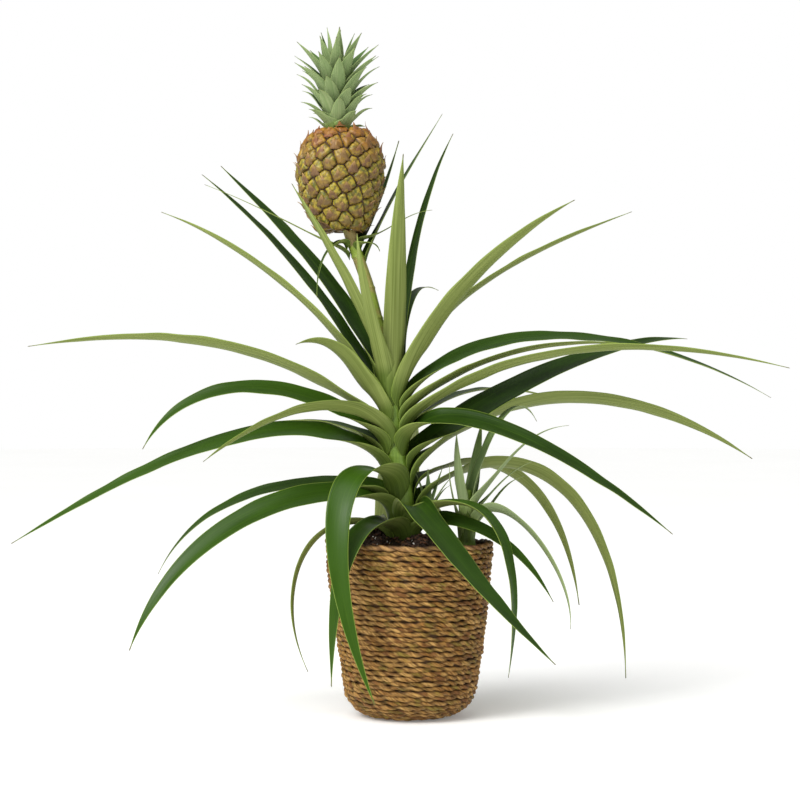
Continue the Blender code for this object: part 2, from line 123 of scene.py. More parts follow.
def wander(rng, distances, spacing, lanes=1):
    """Smooth random numbers from -1 to 1 along a length.

    Random values stand one spacing apart, and an ease curve joins each to the next.
    """
    places = distances / spacing
    whole = np.floor(places).astype(int)
    ease = smooth_step(0.0, 1.0, places - whole)
    values = rng.uniform(-1, 1, (whole.max() + 2, lanes))
    found = values[whole] * (1 - ease)[:, None] + values[whole + 1] * ease[:, None]
    return found[:, 0] if lanes == 1 else found


def grid_quads(rows, columns, ring=True):
    """Quads between neighbouring points of a grid; a ring joins the last column to the first."""
    row = np.arange(rows - 1)[:, None]
    column = np.arange(columns if ring else columns - 1)[None, :]
    beside = (column + 1) % columns
    corners = (row * columns + column, row * columns + beside)
    corners += ((row + 1) * columns + beside, (row + 1) * columns + column)
    return np.stack(np.broadcast_arrays(*corners), -1).reshape(-1, 4)


def fan(ring, middle, turned=False):
    """Triangles from a closed ring of points to a middle point."""
    beside = np.roll(ring, -1)
    found = np.stack([beside, ring, np.full(len(ring), middle)], 1)
    return found[:, ::-1] if turned else found


def capped_quads(rows, columns):
    """Faces of a closed ring grid: its quads, then a fan over the first ring and the last.

    The two middle points stand after the grid's own points, the first ring's first.
    """
    ring = np.arange(columns)
    first = fan(ring, rows * columns)
    last = fan(ring + (rows - 1) * columns, rows * columns + 1, turned=True)
    return [grid_quads(rows, columns), first, last]


def surface(tree, shader, tone, height=None, strength=0.0, distance=0.0):
    """Links the last tone to the shader's colour and, for a rough surface, its relief."""
    tree.links.new(tone.outputs[2], shader.inputs["Base Color"])
    if height is not None:
        sockets = {"Height": height, "Strength": strength, "Distance": distance}
        tree.links.new(add(tree, "Bump", sockets).outputs[0], shader.inputs["Normal"])


def make_piece(name, points, face_sets, finish, attributes=None, smooth=True):
    """A piece from an array of points, arrays of faces, and numbers or vectors kept per point."""
    mesh = bpy.data.meshes.new(name)
    corners = np.concatenate([faces.ravel() for faces in face_sets]).astype(np.int32)
    sizes = np.concatenate([np.full(len(faces), faces.shape[1]) for faces in face_sets])
    starts = np.concatenate([[0], np.cumsum(sizes)[:-1]]).astype(np.int32)
    mesh.vertices.add(len(points))
    mesh.vertices.foreach_set("co", points.astype(np.float32).ravel())
    mesh.loops.add(len(corners))
    mesh.loops.foreach_set("vertex_index", corners)
    mesh.polygons.add(len(sizes))
    mesh.polygons.foreach_set("loop_start", starts)
    mesh.update(calc_edges=True)
    for key, values in (attributes or {}).items():
        vector = values.ndim == 2
        layer = mesh.attributes.new(key, "FLOAT_VECTOR" if vector else "FLOAT", "POINT")
        field = "vector" if vector else "value"
        layer.data.foreach_set(field, values.astype(np.float32).ravel())
    if smooth:
        mesh.shade_smooth()
    mesh.materials.append(finish)
    made = bpy.data.objects.new(name, mesh)
    bpy.context.scene.collection.objects.link(made)
    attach(made, "root")
    return made


def basket_wall_radius(height):
    """Outer radius of the wall: a straight taper plus a bulge shaped like half a sine wave."""
    share = (height - BASKET_CORNER) / (BASKET_HEIGHT - BASKET_CORNER)
    straight = BASKET_LOW_RADIUS + (BASKET_RIM_RADIUS - BASKET_LOW_RADIUS) * share
    return straight + BASKET_BULGE * np.sin(math.pi * share)


def cord_profile():
    """Radius and height of the cord's middle from rim to foot, spaced evenly along the wall.

    The wall's outline, the corner's quarter circle and the flat foot, each moved in by the
    cord's radius, joined end to end and measured along their length.
    """
    heights = np.linspace(BASKET_HEIGHT - CORD_RADIUS, BASKET_CORNER, 200)
    angles = np.linspace(0.0, math.pi / 2, 60)[1:]
    corner = BASKET_CORNER - CORD_RADIUS
    foot = np.linspace(BASKET_LOW_RADIUS - BASKET_CORNER, 0.0032, 80)[1:]
    radii = [basket_wall_radius(heights) - CORD_RADIUS]
    radii += [BASKET_LOW_RADIUS - BASKET_CORNER + corner * np.cos(angles), foot]
    levels = [heights, BASKET_CORNER - corner * np.sin(angles), np.full(79, CORD_RADIUS)]
    radius, height = np.concatenate(radii), np.concatenate(levels)
    run = np.concatenate([[0], np.cumsum(np.hypot(np.diff(radius), np.diff(height)))])
    even = np.linspace(0, run[-1], 24000)
    return even, np.interp(even, run, radius), np.interp(even, run, height)


def coiled_cord(rng):
    """Middle, direction, outward side and length along the cord, at even steps.

    One turn for each course pitch along the wall's outline: angle = 2 pi run / pitch. The
    outward side is the outline's own normal, and small random drifts keep it hand made.
    """
    run, radius, height = cord_profile()
    angle = math.pi / 2 + 2 * math.pi * run / COURSE_PITCH
    length = np.concatenate([[0], np.cumsum(radius[1:] * np.diff(angle))])
    even = np.arange(0.0, length[-1], CORD_STEP)
    run, radius = np.interp(even, length, run), np.interp(even, length, radius)
    height, angle = np.interp(even, length, height), np.interp(even, length, angle)
    slope_r, slope_z = np.gradient(radius, run), np.gradient(height, run)
    outline = np.hypot(slope_r, slope_z)
    out_r, out_z = -slope_z / outline, slope_r / outline
    sway = 0.0006 * np.sin(3 * angle + 40 * height) * smooth_step(0.01, 0.05, height)
    drift = wander(rng, even, 0.018, 2) * (0.00042, 0.00075)
    radius = radius + sway + drift[:, 0] * out_r
    height = height + drift[:, 1] * smooth_step(0.004, 0.03, height) * out_r
    height = np.maximum(height, CORD_RADIUS)
    cos, sin = np.cos(angle), np.sin(angle)
    middle = np.stack([radius * cos, radius * sin, height], 1)
    ahead = np.gradient(middle, axis=0)
    ahead = ahead / np.linalg.norm(ahead, axis=1)[:, None]
    outward = np.stack([out_r * cos, out_r * sin, out_z], 1)
    outward = outward - ahead * np.sum(outward * ahead, 1)[:, None]
    outward = outward / np.linalg.norm(outward, axis=1)[:, None]
    return middle, ahead, outward, even


def twist_cord(name, rng, middle, ahead, outward, length, first, last):
    """Two plies of one stretch of cord, as closed tubes wound round its middle.

    Each ply's centre stands off the middle at an angle of -2 pi length / twist pitch, with
    the two plies half a turn apart, and its own section grows and shrinks a little. The
    section is pressed to 0.90 of its height by the courses above and below.
    """
    up = np.cross(outward, ahead)
    sides = 2 * math.pi * np.arange(PLY_SIDES) / PLY_SIDES
    points, faces, grain, recess, lane, rim = [], [], [], [], [], []
    for ply in range(2):
        swell = wander(rng, length, 0.006) * 0.20 + wander(rng, length, 0.05) * 0.10
        taper = smooth_step(0.0, 0.020, length) * smooth_step(0.0, 0.020, length[-1] - length)
        ply_radius = PLY_RADIUS * (1 + swell) * (0.35 + 0.65 * taper)
        turn = -2 * math.pi * length / TWIST_PITCH + math.pi * ply
        turn = turn + 0.8 * wander(rng, length, 0.022)
        cut = slice(first, last)
        turned = sides[None, :] + turn[cut, None]
        reach_out = PLY_OFFSET * np.cos(turn[cut, None]) + ply_radius[cut, None] * np.cos(turned)
        reach_up = PLY_OFFSET * np.sin(turn[cut, None]) + ply_radius[cut, None] * np.sin(turned)
        reach_up = reach_up * PRESSED
        tube = middle[cut, None, :] + outward[cut, None, :] * reach_out[..., None]
        tube = tube + up[cut, None, :] * reach_up[..., None]
        tube[..., 2] = np.maximum(tube[..., 2], 0.0)
        rows = tube.shape[0]
        start = sum(len(part) for part in points)
        ends = np.stack([tube[0].mean(0), tube[-1].mean(0)])
        points.append(np.concatenate([tube.reshape(-1, 3), ends]))
        body = rows * PLY_SIDES
        faces.append(grid_quads(rows, PLY_SIDES)[:, ::-1] + start)
        first_ring = np.arange(PLY_SIDES)
        faces.append(fan(first_ring, body, turned=True) + start)
        faces.append(fan(first_ring + body - PLY_SIDES, body + 1) + start)
        along = np.broadcast_to(length[cut, None], (rows, PLY_SIDES))
        round_x = np.broadcast_to(PLY_RADIUS * np.cos(sides), (rows, PLY_SIDES))
        round_y = np.broadcast_to(PLY_RADIUS * np.sin(sides), (rows, PLY_SIDES))
        local = np.stack([along, round_x + ply * 0.05, round_y], 2).reshape(-1, 3)
        grain.append(np.concatenate([local, local[[0, -1]]]))
        # How deep each point lies under the cord's outer face; the finish uses it to paint shade in the
        # hollows between the lobes.
        deep = 1 - reach_out / (PLY_OFFSET + PLY_RADIUS)
        recess.append(np.concatenate([deep.ravel(), [1.0, 1.0]]))
        lane.append(np.full(body + 2, float(ply)))
        top = np.broadcast_to(1 - smooth_step(0.36, 0.44, length[cut, None]), (rows, PLY_SIDES))
        rim.append(np.concatenate([top.ravel(), [0.0, 0.0]]))
    values = {"grain": np.concatenate(grain), "recess": np.concatenate(recess)}
    values["lane"] = np.concatenate(lane)
    values["rim"] = np.concatenate(rim)
    return make_piece(name, np.concatenate(points), faces, seagrass, values)


# Seagrass, dried and twisted: a matt fibrous surface, straw to brown, with fine pale streaks
# along each ply, and near black painted shade in the hollows between the lobes.
seagrass, tree, shader = new_finish("dried_seagrass_twisted", Roughness=0.50)
shader.inputs["Specular IOR Level"].default_value = 0.28
grain_read = add(tree, "Attribute", attribute_name="grain")
recess_read = add(tree, "Attribute", attribute_name="recess")
rim_read = add(tree, "Attribute", attribute_name="rim")
# streaks in the grass about 0.8 mm wide and 5 mm long
blades_at = add(tree, "Mapping", {"Vector": grain_read.outputs["Vector"], "Scale": (190, 1300, 1300)})
blades = add(tree, "TexNoise", {"Vector": blades_at.outputs[0], "Scale": 1.0, "Detail": 4.0})
# whole lengths of the cord, 30 mm and more, that dried lighter or darker
lengths_at = add(tree, "Mapping", {"Vector": grain_read.outputs["Vector"], "Scale": (34, 18, 1)})
lengths = add(tree, "TexNoise", {"Vector": lengths_at.outputs[0], "Scale": 1.0, "Detail": 2.0})
kinds_at = add(tree, "Mapping", {"Vector": grain_read.outputs["Vector"], "Scale": (62, 40, 1)})
kinds_at.inputs["Location"].default_value = (7.3, 2.1, 5.7)
kinds = add(tree, "TexNoise", {"Vector": kinds_at.outputs[0], "Scale": 1.0, "Detail": 1.0})
pale = add(tree, "MapRange", {"Value": lengths.outputs["Fac"], "From Min": 0.38, "From Max": 0.62})
tone = add(
    tree,
    "Mix",
    {0: pale.outputs[0], 6: linear(SEAGRASS_COLOURS["tan"]), 7: linear(SEAGRASS_COLOURS["straw"])},
    data_type="RGBA",
)
odd = add(tree, "MapRange", {"Value": kinds.outputs["Fac"], "From Min": 0.56, "From Max": 0.66})
tone = add(
    tree,
    "Mix",
    {0: odd.outputs[0], 6: tone.outputs[2], 7: linear(SEAGRASS_COLOURS["olive"])},
    data_type="RGBA",
)
odd = add(tree, "MapRange", {"Value": kinds.outputs["Fac"], "From Min": 0.42, "From Max": 0.34})
tone = add(
    tree,
    "Mix",
    {0: odd.outputs[0], 6: tone.outputs[2], 7: linear(SEAGRASS_COLOURS["russet"])},
    data_type="RGBA",
)
streak = add(tree, "MapRange", {"Value": blades.outputs["Fac"], "From Min": 0.57, "From Max": 0.40})
streak.inputs["To Max"].default_value = 0.92
tone = add(
    tree,
    "Mix",
    {0: streak.outputs[0], 6: tone.outputs[2], 7: linear(SEAGRASS_COLOURS["brown"])},
    data_type="RGBA",
)
rim_tone = add(tree, "Math", {0: rim_read.outputs["Fac"], 1: 0.45}, operation="MULTIPLY")
tone = add(tree, "Mix", {0: rim_tone.outputs[0], 6: tone.outputs[2], 7: linear("#94704F")}, data_type="RGBA")
# Painted shade: the deeper a point lies between the lobes, the nearer its colour goes to the shadow brown.
hollow_shade = add(tree, "MapRange", {"Value": recess_read.outputs["Fac"], "From Min": 0.18})
hollow_shade.inputs["From Max"].default_value = 0.85
tone = add(
    tree,
    "Mix",
    {0: hollow_shade.outputs[0], 6: tone.outputs[2], 7: linear(SEAGRASS_COLOURS["shadow"])},
    data_type="RGBA",
)
surface(tree, shader, tone, blades.outputs["Fac"], 1.0, 0.0011)

cord_rng = np.random.default_rng(41)
cord_middle, cord_ahead, cord_outward, cord_length = coiled_cord(cord_rng)
stations = len(cord_length)
cuts = [0, int(stations * 0.34), int(stations * 0.66), stations]
for number, (first, last) in enumerate(zip(cuts[:-1], cuts[1:]), 1):
    ply_rng = np.random.default_rng(42)
    last = min(last + 1, stations)
    cord = twist_cord(
        f"basket_cord_{number:02d}",
        ply_rng,
        cord_middle,
        cord_ahead,
        cord_outward,
        cord_length,
        first,
        last,
    )
    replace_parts(cord, "basket")

# Painted shade: a dark shell behind the cords, so the gaps between courses show shade and not the backdrop.
SHADE_SHELL_INSET = 0.0032
SHADE_SHELL_THICK = 0.0009


def basket_shade_shell(name):
    """A dark shell behind the cords that paints the shade inside the basket seen through the gaps: a shell
    turned from the cord's own outline.

    Two copies of the outline, moved in from the wall's outside by 3.2 mm and 4.1 mm, are
    turned round the basket's middle and joined at the rim; both close on the middle below.
    """
    _, radius, height = cord_profile()
    pick = np.linspace(700, len(radius) - 1, 90).astype(int)
    radius, height = radius[pick], height[pick]
    slope = np.hypot(np.gradient(radius), np.gradient(height))
    out_r, out_z = -np.gradient(height) / slope, np.gradient(radius) / slope
    angle = 2 * math.pi * np.arange(96) / 96
    shells = []
    for inset in (SHADE_SHELL_INSET - CORD_RADIUS, SHADE_SHELL_INSET - CORD_RADIUS + SHADE_SHELL_THICK):
        ring = np.maximum(radius - out_r * inset, 0.0005)[:, None]
        level = np.broadcast_to((height - out_z * inset)[:, None], (90, 96))
        shells.append(np.stack([ring * np.cos(angle), ring * np.sin(angle), level], -1))
    points = np.concatenate([shells[0][::-1], shells[1]]).reshape(-1, 3)
    low = [[0, 0, shells[0][-1, 0, 2]], [0, 0, shells[1][-1, 0, 2]]]
    faces = capped_quads(180, 96)
    return make_piece(name, np.concatenate([points, low]), faces, painted_shade_finish)


# Painted shade behind the cords: a dark brown shell with the cords' own grain, standing in for the shade
# inside the basket that shows through the gaps.
painted_shade_finish, tree, shader = new_finish("painted_shade_behind_cords", Roughness=0.8)
place = add(tree, "TexCoord")
grain_at = add(tree, "Mapping", {"Vector": place.outputs["Object"], "Scale": (150, 150, 900)})
grain = add(tree, "TexNoise", {"Vector": grain_at.outputs[0], "Scale": 1.0, "Detail": 3.0})
tone = add(
    tree,
    "Mix",
    {0: grain.outputs["Fac"], 6: linear("#2E1D0C"), 7: linear("#5A3F20")},
    data_type="RGBA",
)
surface(tree, shader, tone)
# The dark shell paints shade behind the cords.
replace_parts(basket_shade_shell("basket_shade_shell"), "basket")

STRAY_FIBRES = 320
STRAY_RADIUS = 0.00009


def stray_fibres(name, rng):
    """Loose ends of grass: three-sided threads that leave the cord and curl away from it.

    A thread runs along the cord and lifts with the square of its length, up to 3 mm.
    """
    picks = rng.integers(200, int(stations * 0.9), STRAY_FIBRES)
    share = np.linspace(0.0, 1.0, 7)[None, :, None]
    size = rng.uniform(0.004, 0.012, (STRAY_FIBRES, 1, 1))
    lift = rng.uniform(0.0004, 0.0028, (STRAY_FIBRES, 1, 1))
    side = rng.uniform(-0.5, 0.5, (STRAY_FIBRES, 1, 1))
    heading = np.where(rng.uniform(size=(STRAY_FIBRES, 1, 1)) < 0.5, -1.0, 1.0)
    out = cord_outward[picks][:, None, :]
    ahead = cord_ahead[picks][:, None, :] * heading
    over = np.cross(out, ahead)
    begin = cord_middle[picks][:, None, :] + out * (CORD_RADIUS - 0.0002)
    line = begin + ahead * size * share + out * lift * share**2 + over * side * size * share**1.5
    turns = (2 * math.pi * np.arange(3) / 3)[None, None, :, None]
    thick = STRAY_RADIUS * (1 - 0.7 * share)[..., None]
    tube = line[:, :, None, :] + thick * (
        np.cos(turns) * out[:, :, None, :] + np.sin(turns) * over[:, :, None, :]
    )
    each = 7 * 3
    quads = grid_quads(7, 3)
    shift = (np.arange(STRAY_FIBRES) * each)[:, None, None]
    faces = [(quads[None] + shift).reshape(-1, 4)]
    faces.append((np.array([[2, 1, 0]])[None] + shift).reshape(-1, 3))
    faces.append((np.array([[18, 19, 20]])[None] + shift).reshape(-1, 3))
    return make_piece(name, tube.reshape(-1, 3), faces, loose_grass)


# Split seagrass, dried: thin pale ends that catch the light.
loose_grass, tree, shader = new_finish("dried_seagrass_loose_end", Roughness=0.55)
place = add(tree, "TexCoord")
ends = add(tree, "TexNoise", {"Vector": place.outputs["Object"], "Scale": 160.0})
tone = add(
    tree,
    "Mix",
    {0: ends.outputs["Fac"], 6: linear("#9C7A48"), 7: linear("#E2C994")},
    data_type="RGBA",
)
surface(tree, shader, tone)
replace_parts(stray_fibres("basket_stray_fibres", np.random.default_rng(7)), "basket")

# Grower's pot: injection moulded polypropylene, set down inside the basket. Only its rolled
# lip shows round the soil.
pot_plastic, tree, shader = new_finish("polypropylene_moulded_black", Roughness=0.42)
place = add(tree, "TexCoord")
# fine moulded grain, about 0.6 mm
grit = add(tree, "TexNoise", {"Vector": place.outputs["Object"], "Scale": 1600.0, "Detail": 2.0})
dust = add(tree, "TexNoise", {"Vector": place.outputs["Object"], "Scale": 90.0, "Detail": 5.0})
dusty = add(tree, "MapRange", {"Value": dust.outputs["Fac"], "From Min": 0.5, "From Max": 0.75})
tone = add(tree, "Mix", {0: dusty.outputs[0], 6: linear("#17181A"), 7: linear("#3A322A")}, data_type="RGBA")
surface(tree, shader, tone)
gloss = add(tree, "MapRange", {"Value": dust.outputs["Fac"], "To Min": 0.3, "To Max": 0.62})
tree.links.new(gloss.outputs[0], shader.inputs["Roughness"])
relief = add(tree, "Bump", {"Height": grit.outputs["Fac"], "Strength": 0.3, "Distance": 0.0002})
tree.links.new(relief.outputs[0], shader.inputs["Normal"])
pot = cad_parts["nursery_pot"]
pot.data.materials.clear()
pot.data.materials.append(pot_plastic)

# Potting mix: dark peat heaped towards the stem, with crumbs, bark chips and grains of
# perlite lying on it. It fills the grower's pot and has a socket round each stem.
_, pot_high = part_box("nursery_pot")
soil_low, soil_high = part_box("soil")
SOIL_RADIUS = soil_high.x
SOIL_EDGE_Z = pot_high.z - 0.004
SOIL_HEAP = 0.016
SOIL_FOOT_RADIUS = 0.0362
STEM_X = -0.0033
PUP_X = 0.0455
PUP_Y = 0.004


def soil_height(x, y, rng_seed=5):
    """Height of the heap: a squared cosine mound, rough at 4 to 12 mm, with two sockets."""
    rng = np.random.default_rng(rng_seed)
    share = np.clip(np.hypot(x, y) / SOIL_RADIUS, 0, 1)
    height = SOIL_EDGE_Z + SOIL_HEAP * np.cos(math.pi / 2 * share) ** 2
    for size, depth in ((0.022, 0.0016), (0.011, 0.0012), (0.0055, 0.0009), (0.003, 0.0006)):
        for _ in range(5):
            way = rng.uniform(0, 2 * math.pi)
            phase = rng.uniform(0, 2 * math.pi)
            wave = (x * math.cos(way) + y * math.sin(way)) * 2 * math.pi / size
            height = height + depth * np.sin(wave + phase) / 3
    height = height + 0.015 * np.exp(-((x + 0.032) ** 2 + (y - 0.020) ** 2) / 0.00030)
    near = np.hypot(x - STEM_X, y)
    height = height - 0.014 * (1 - smooth_step(0.014, 0.017, near))
    near = np.hypot(x - PUP_X, y - PUP_Y)
    return height - 0.010 * (1 - smooth_step(0.008, 0.0105, near))


def soil_heap(name):
    """The top as rings of a polar grid, then the wall down to the pot's floor."""
    rings, columns = 88, 200
    share = np.linspace(0.008, 1.0, rings)[:, None]
    angle = (2 * math.pi * np.arange(columns) / columns)[None, :]
    x, y = SOIL_RADIUS * share * np.cos(angle), SOIL_RADIUS * share * np.sin(angle)
    top = np.stack([x, y, soil_height(x, y)], -1)
    drop = np.linspace(0.0, 1.0, 9)[1:, None]
    radius = SOIL_RADIUS + (SOIL_FOOT_RADIUS - SOIL_RADIUS) * drop
    level = top[-1, :, 2][None, :] * (1 - drop) + (soil_low.z + 0.0003) * drop
    wall = np.stack([radius * np.cos(angle), radius * np.sin(angle), level], -1)
    points = np.concatenate([top.reshape(-1, 3), wall.reshape(-1, 3)])
    rows = rings + 8
    middle = (soil_height(np.zeros(1), np.zeros(1))[0], soil_low.z + 0.0003)
    points = np.concatenate([points, [[0, 0, middle[0]], [0, 0, middle[1]]]])
    faces = [grid_quads(rows, columns)[:, ::-1]]
    faces.append(fan(np.arange(columns), rows * columns, turned=True))
    faces.append(fan(np.arange(columns) + (rows - 1) * columns, rows * columns + 1))
    return make_piece(name, points, faces, peat)


def scattered(name, rng, count, spread, sizes, flatness, lift, finish, keep_clear=0.019):
    """Many small lumps: a twelve-cornered solid for each, stretched, turned and roughened.

    Each lump's corners are the solid's corners times its three sizes, each moved by up to a
    fifth, turned about a random axis, and set on the soil's height at its place.
    """
    golden = (1 + 5**0.5) / 2
    corners = np.array(
        [(-1, golden, 0), (1, golden, 0), (-1, -golden, 0), (1, -golden, 0)]
        + [(0, -1, golden), (0, 1, golden), (0, -1, -golden), (0, 1, -golden)]
        + [(golden, 0, -1), (golden, 0, 1), (-golden, 0, -1), (-golden, 0, 1)]
    ) / 1.902
    sides = np.array(
        [(0, 11, 5), (0, 5, 1), (0, 1, 7), (0, 7, 10), (0, 10, 11), (1, 5, 9), (5, 11, 4)]
        + [(11, 10, 2), (10, 7, 6), (7, 1, 8), (3, 9, 4), (3, 4, 2), (3, 2, 6), (3, 6, 8)]
        + [(3, 8, 9), (4, 9, 5), (2, 4, 11), (6, 2, 10), (8, 6, 7), (9, 8, 1)]
    )
    radius = spread * np.sqrt(rng.uniform(0, 1, count * 3))
    angle = rng.uniform(0, 2 * math.pi, count * 3)
    x, y = radius * np.cos(angle), radius * np.sin(angle)
    clear = np.hypot(x - STEM_X, y) > keep_clear
    clear &= np.hypot(x - PUP_X, y - PUP_Y) > 0.012
    x, y = x[clear][:count], y[clear][:count]
    count = len(x)
    size = rng.uniform(*sizes, count)
    scale = size[:, None] * rng.uniform(0.6, 1.0, (count, 3)) * (1.0, 0.75, flatness)
    shape = corners[None] * (1 + rng.uniform(-0.2, 0.2, (count, 12, 1))) * scale[:, None, :]
    spin = rng.uniform(0, 2 * math.pi, count)
    tilt = rng.normal(0, 0.35, (count, 2))
    cos, sin = np.cos(spin)[:, None], np.sin(spin)[:, None]
    turned_x = shape[..., 0] * cos - shape[..., 1] * sin
    turned_y = shape[..., 0] * sin + shape[..., 1] * cos
    turned_z = shape[..., 2] + turned_x * tilt[:, :1] + turned_y * tilt[:, 1:]
    ground = soil_height(x, y) + lift * size
    points = np.stack(
        [turned_x + x[:, None], turned_y + y[:, None], turned_z + ground[:, None]], -1
    )
    faces = sides[None] + (np.arange(count) * 12)[:, None, None]
    shade = np.repeat(rng.uniform(0, 1, count), 12)
    values = {"lump": shade}
    points = points.reshape(-1, 3)
    return make_piece(name, points, [faces.reshape(-1, 3)], finish, values, False)


# Peat and coir, damp: nearly black brown with paler fibres, no gloss.
peat, tree, shader = new_finish("peat_potting_mix_damp", Roughness=0.9)
place = add(tree, "TexCoord")
crumb = add(tree, "TexNoise", {"Vector": place.outputs["Object"], "Scale": 420.0, "Detail": 6.0})
patch = add(tree, "TexNoise", {"Vector": place.outputs["Object"], "Scale": 85.0, "Detail": 3.0})
tone = add(
    tree,
    "Mix",
    {0: patch.outputs["Fac"], 6: linear("#1B110B"), 7: linear("#3B2818")},
    data_type="RGBA",
)
fleck = add(tree, "MapRange", {"Value": crumb.outputs["Fac"], "From Min": 0.58, "From Max": 0.72})
tone = add(tree, "Mix", {0: fleck.outputs[0], 6: tone.outputs[2], 7: linear("#6B4A2C")}, data_type="RGBA")
surface(tree, shader, tone, crumb.outputs["Fac"], 0.9, 0.0012)

# Composted pine bark, chipped: reddish brown plates with a lighter broken edge.
bark, tree, shader = new_finish("pine_bark_chipped", Roughness=0.8)
place = add(tree, "TexCoord")
lump_read = add(tree, "Attribute", attribute_name="lump")
wood = add(tree, "TexNoise", {"Vector": place.outputs["Object"], "Scale": 700.0, "Detail": 4.0})
tone = add(
    tree,
    "Mix",
    {0: lump_read.outputs["Fac"], 6: linear("#2A1810"), 7: linear("#7A4E2E")},
    data_type="RGBA",
)
dark = add(tree, "MapRange", {"Value": wood.outputs["Fac"], "From Min": 0.6, "From Max": 0.4})
tone = add(tree, "Mix", {0: dark.outputs[0], 6: tone.outputs[2], 7: linear("#24150D")}, data_type="RGBA")
surface(tree, shader, tone, wood.outputs["Fac"], 0.7, 0.0006)

# Perlite, expanded: chalk white grains full of pores.
perlite, tree, shader = new_finish("perlite_expanded", Roughness=0.85)
place = add(tree, "TexCoord")
pores = add(tree, "TexVoronoi", {"Vector": place.outputs["Object"], "Scale": 1500.0})
tone = add(
    tree,
    "Mix",
    {0: pores.outputs["Distance"], 6: linear("#C9C2B4"), 7: linear("#F2EFE8")},
    data_type="RGBA",
)
surface(tree, shader, tone, pores.outputs["Distance"], 0.6, 0.0004)

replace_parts(soil_heap("soil_peat"), "soil")
lump_rng = np.random.default_rng(12)
scattered("soil_crumbs", lump_rng, 900, 0.0535, (0.0008, 0.0024), 0.8, 0.35, peat)
scattered("soil_bark_chips", lump_rng, 260, 0.0530, (0.0016, 0.0046), 0.38, 0.35, bark)
scattered("soil_perlite", lump_rng, 80, 0.0530, (0.0007, 0.0015), 0.85, 0.7, perlite)

# Stem: the short green column that the leaves clasp, rooted in the potting mix and leaning
# towards the fruit. Ridges run up it, and each old leaf has left a ring.
AXIS_Z = (0.120, 0.165, 0.215, 0.255, 0.295, 0.345, 0.390)
AXIS_X = (-0.003, -0.006, -0.012, -0.014, -0.021, -0.034, -0.050)
STEM_FOOT_Z = 0.125
STEM_TOP_Z = 0.272
STEM_FOOT_RADIUS = 0.0110
STEM_TOP_RADIUS = 0.0068
STALK_RADIUS = 0.0050


def axis_x(height):
    """Where the leaning axis of the stem and stalk stands at a height, eased at its bends."""
    fine = np.linspace(0.10, 0.41, 311)
    bent = np.interp(fine, AXIS_Z, AXIS_X)
    kernel = np.exp(-np.linspace(-2, 2, 31) ** 2)
    eased = np.convolve(np.pad(bent, 15, mode="edge"), kernel / kernel.sum(), mode="valid")
    return np.interp(height, fine, eased)


def stem_radius(height):
    """Radius of the stem, tapering in a straight line, and of the stalk above it."""
    share = (height - STEM_FOOT_Z) / (STEM_TOP_Z - STEM_FOOT_Z)
    taper = STEM_FOOT_RADIUS + (STEM_TOP_RADIUS - STEM_FOOT_RADIUS) * share
    return np.where(height > STEM_TOP_Z, STALK_RADIUS, taper)


def round_column(name, x, y, height, radius, ribs, finish):
    """A closed round column: its radius at each height times 1 plus the ribs round it."""
    columns = 72
    angle = (2 * math.pi * np.arange(columns) / columns)[None, :]
    full = radius[:, None] * (1 + ribs(height[:, None], angle))
    points = np.stack(
        [
            x[:, None] + full * np.cos(angle),
            y[:, None] + full * np.sin(angle),
            np.broadcast_to(height[:, None], full.shape),
        ],
        -1,
    ).reshape(-1, 3)
    ends = [[x[0], y[0], height[0]], [x[-1], y[-1], height[-1]]]
    rows = len(height)
    faces = capped_quads(rows, columns)
    return make_piece(name, np.concatenate([points, ends]), faces, finish)


def stem_ribs(height, angle):
    """Fine ribs round the stem and a shallow ring every 6 mm."""
    rings = np.exp(-(((height / 0.006) % 1 - 0.5) ** 2) / 0.01)
    return 0.012 * np.sin(17 * angle + 60 * height) + 0.02 * rings


# Pineapple stem, living: waxy yellow-green, mottled along its fibres.
stem_skin, tree, shader = new_finish("pineapple_stem_living", Roughness=0.45)
place = add(tree, "TexCoord")
rise_at = add(tree, "Mapping", {"Vector": place.outputs["Object"], "Scale": (900, 900, 60)})
fibres = add(tree, "TexNoise", {"Vector": rise_at.outputs[0], "Scale": 1.0, "Detail": 3.0})
tone = add(
    tree,
    "Mix",
    {0: fibres.outputs["Fac"], 6: linear("#55731C"), 7: linear("#7E9A34")},
    data_type="RGBA",
)
surface(tree, shader, tone, fibres.outputs["Fac"], 0.4, 0.0004)

column_z = np.linspace(STEM_FOOT_Z, STEM_TOP_Z, 150)
stem = round_column(
    "stem_column",
    axis_x(column_z),
    np.zeros(150),
    column_z,
    stem_radius(column_z),
    stem_ribs,
    stem_skin,
)
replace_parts(stem, "stem")

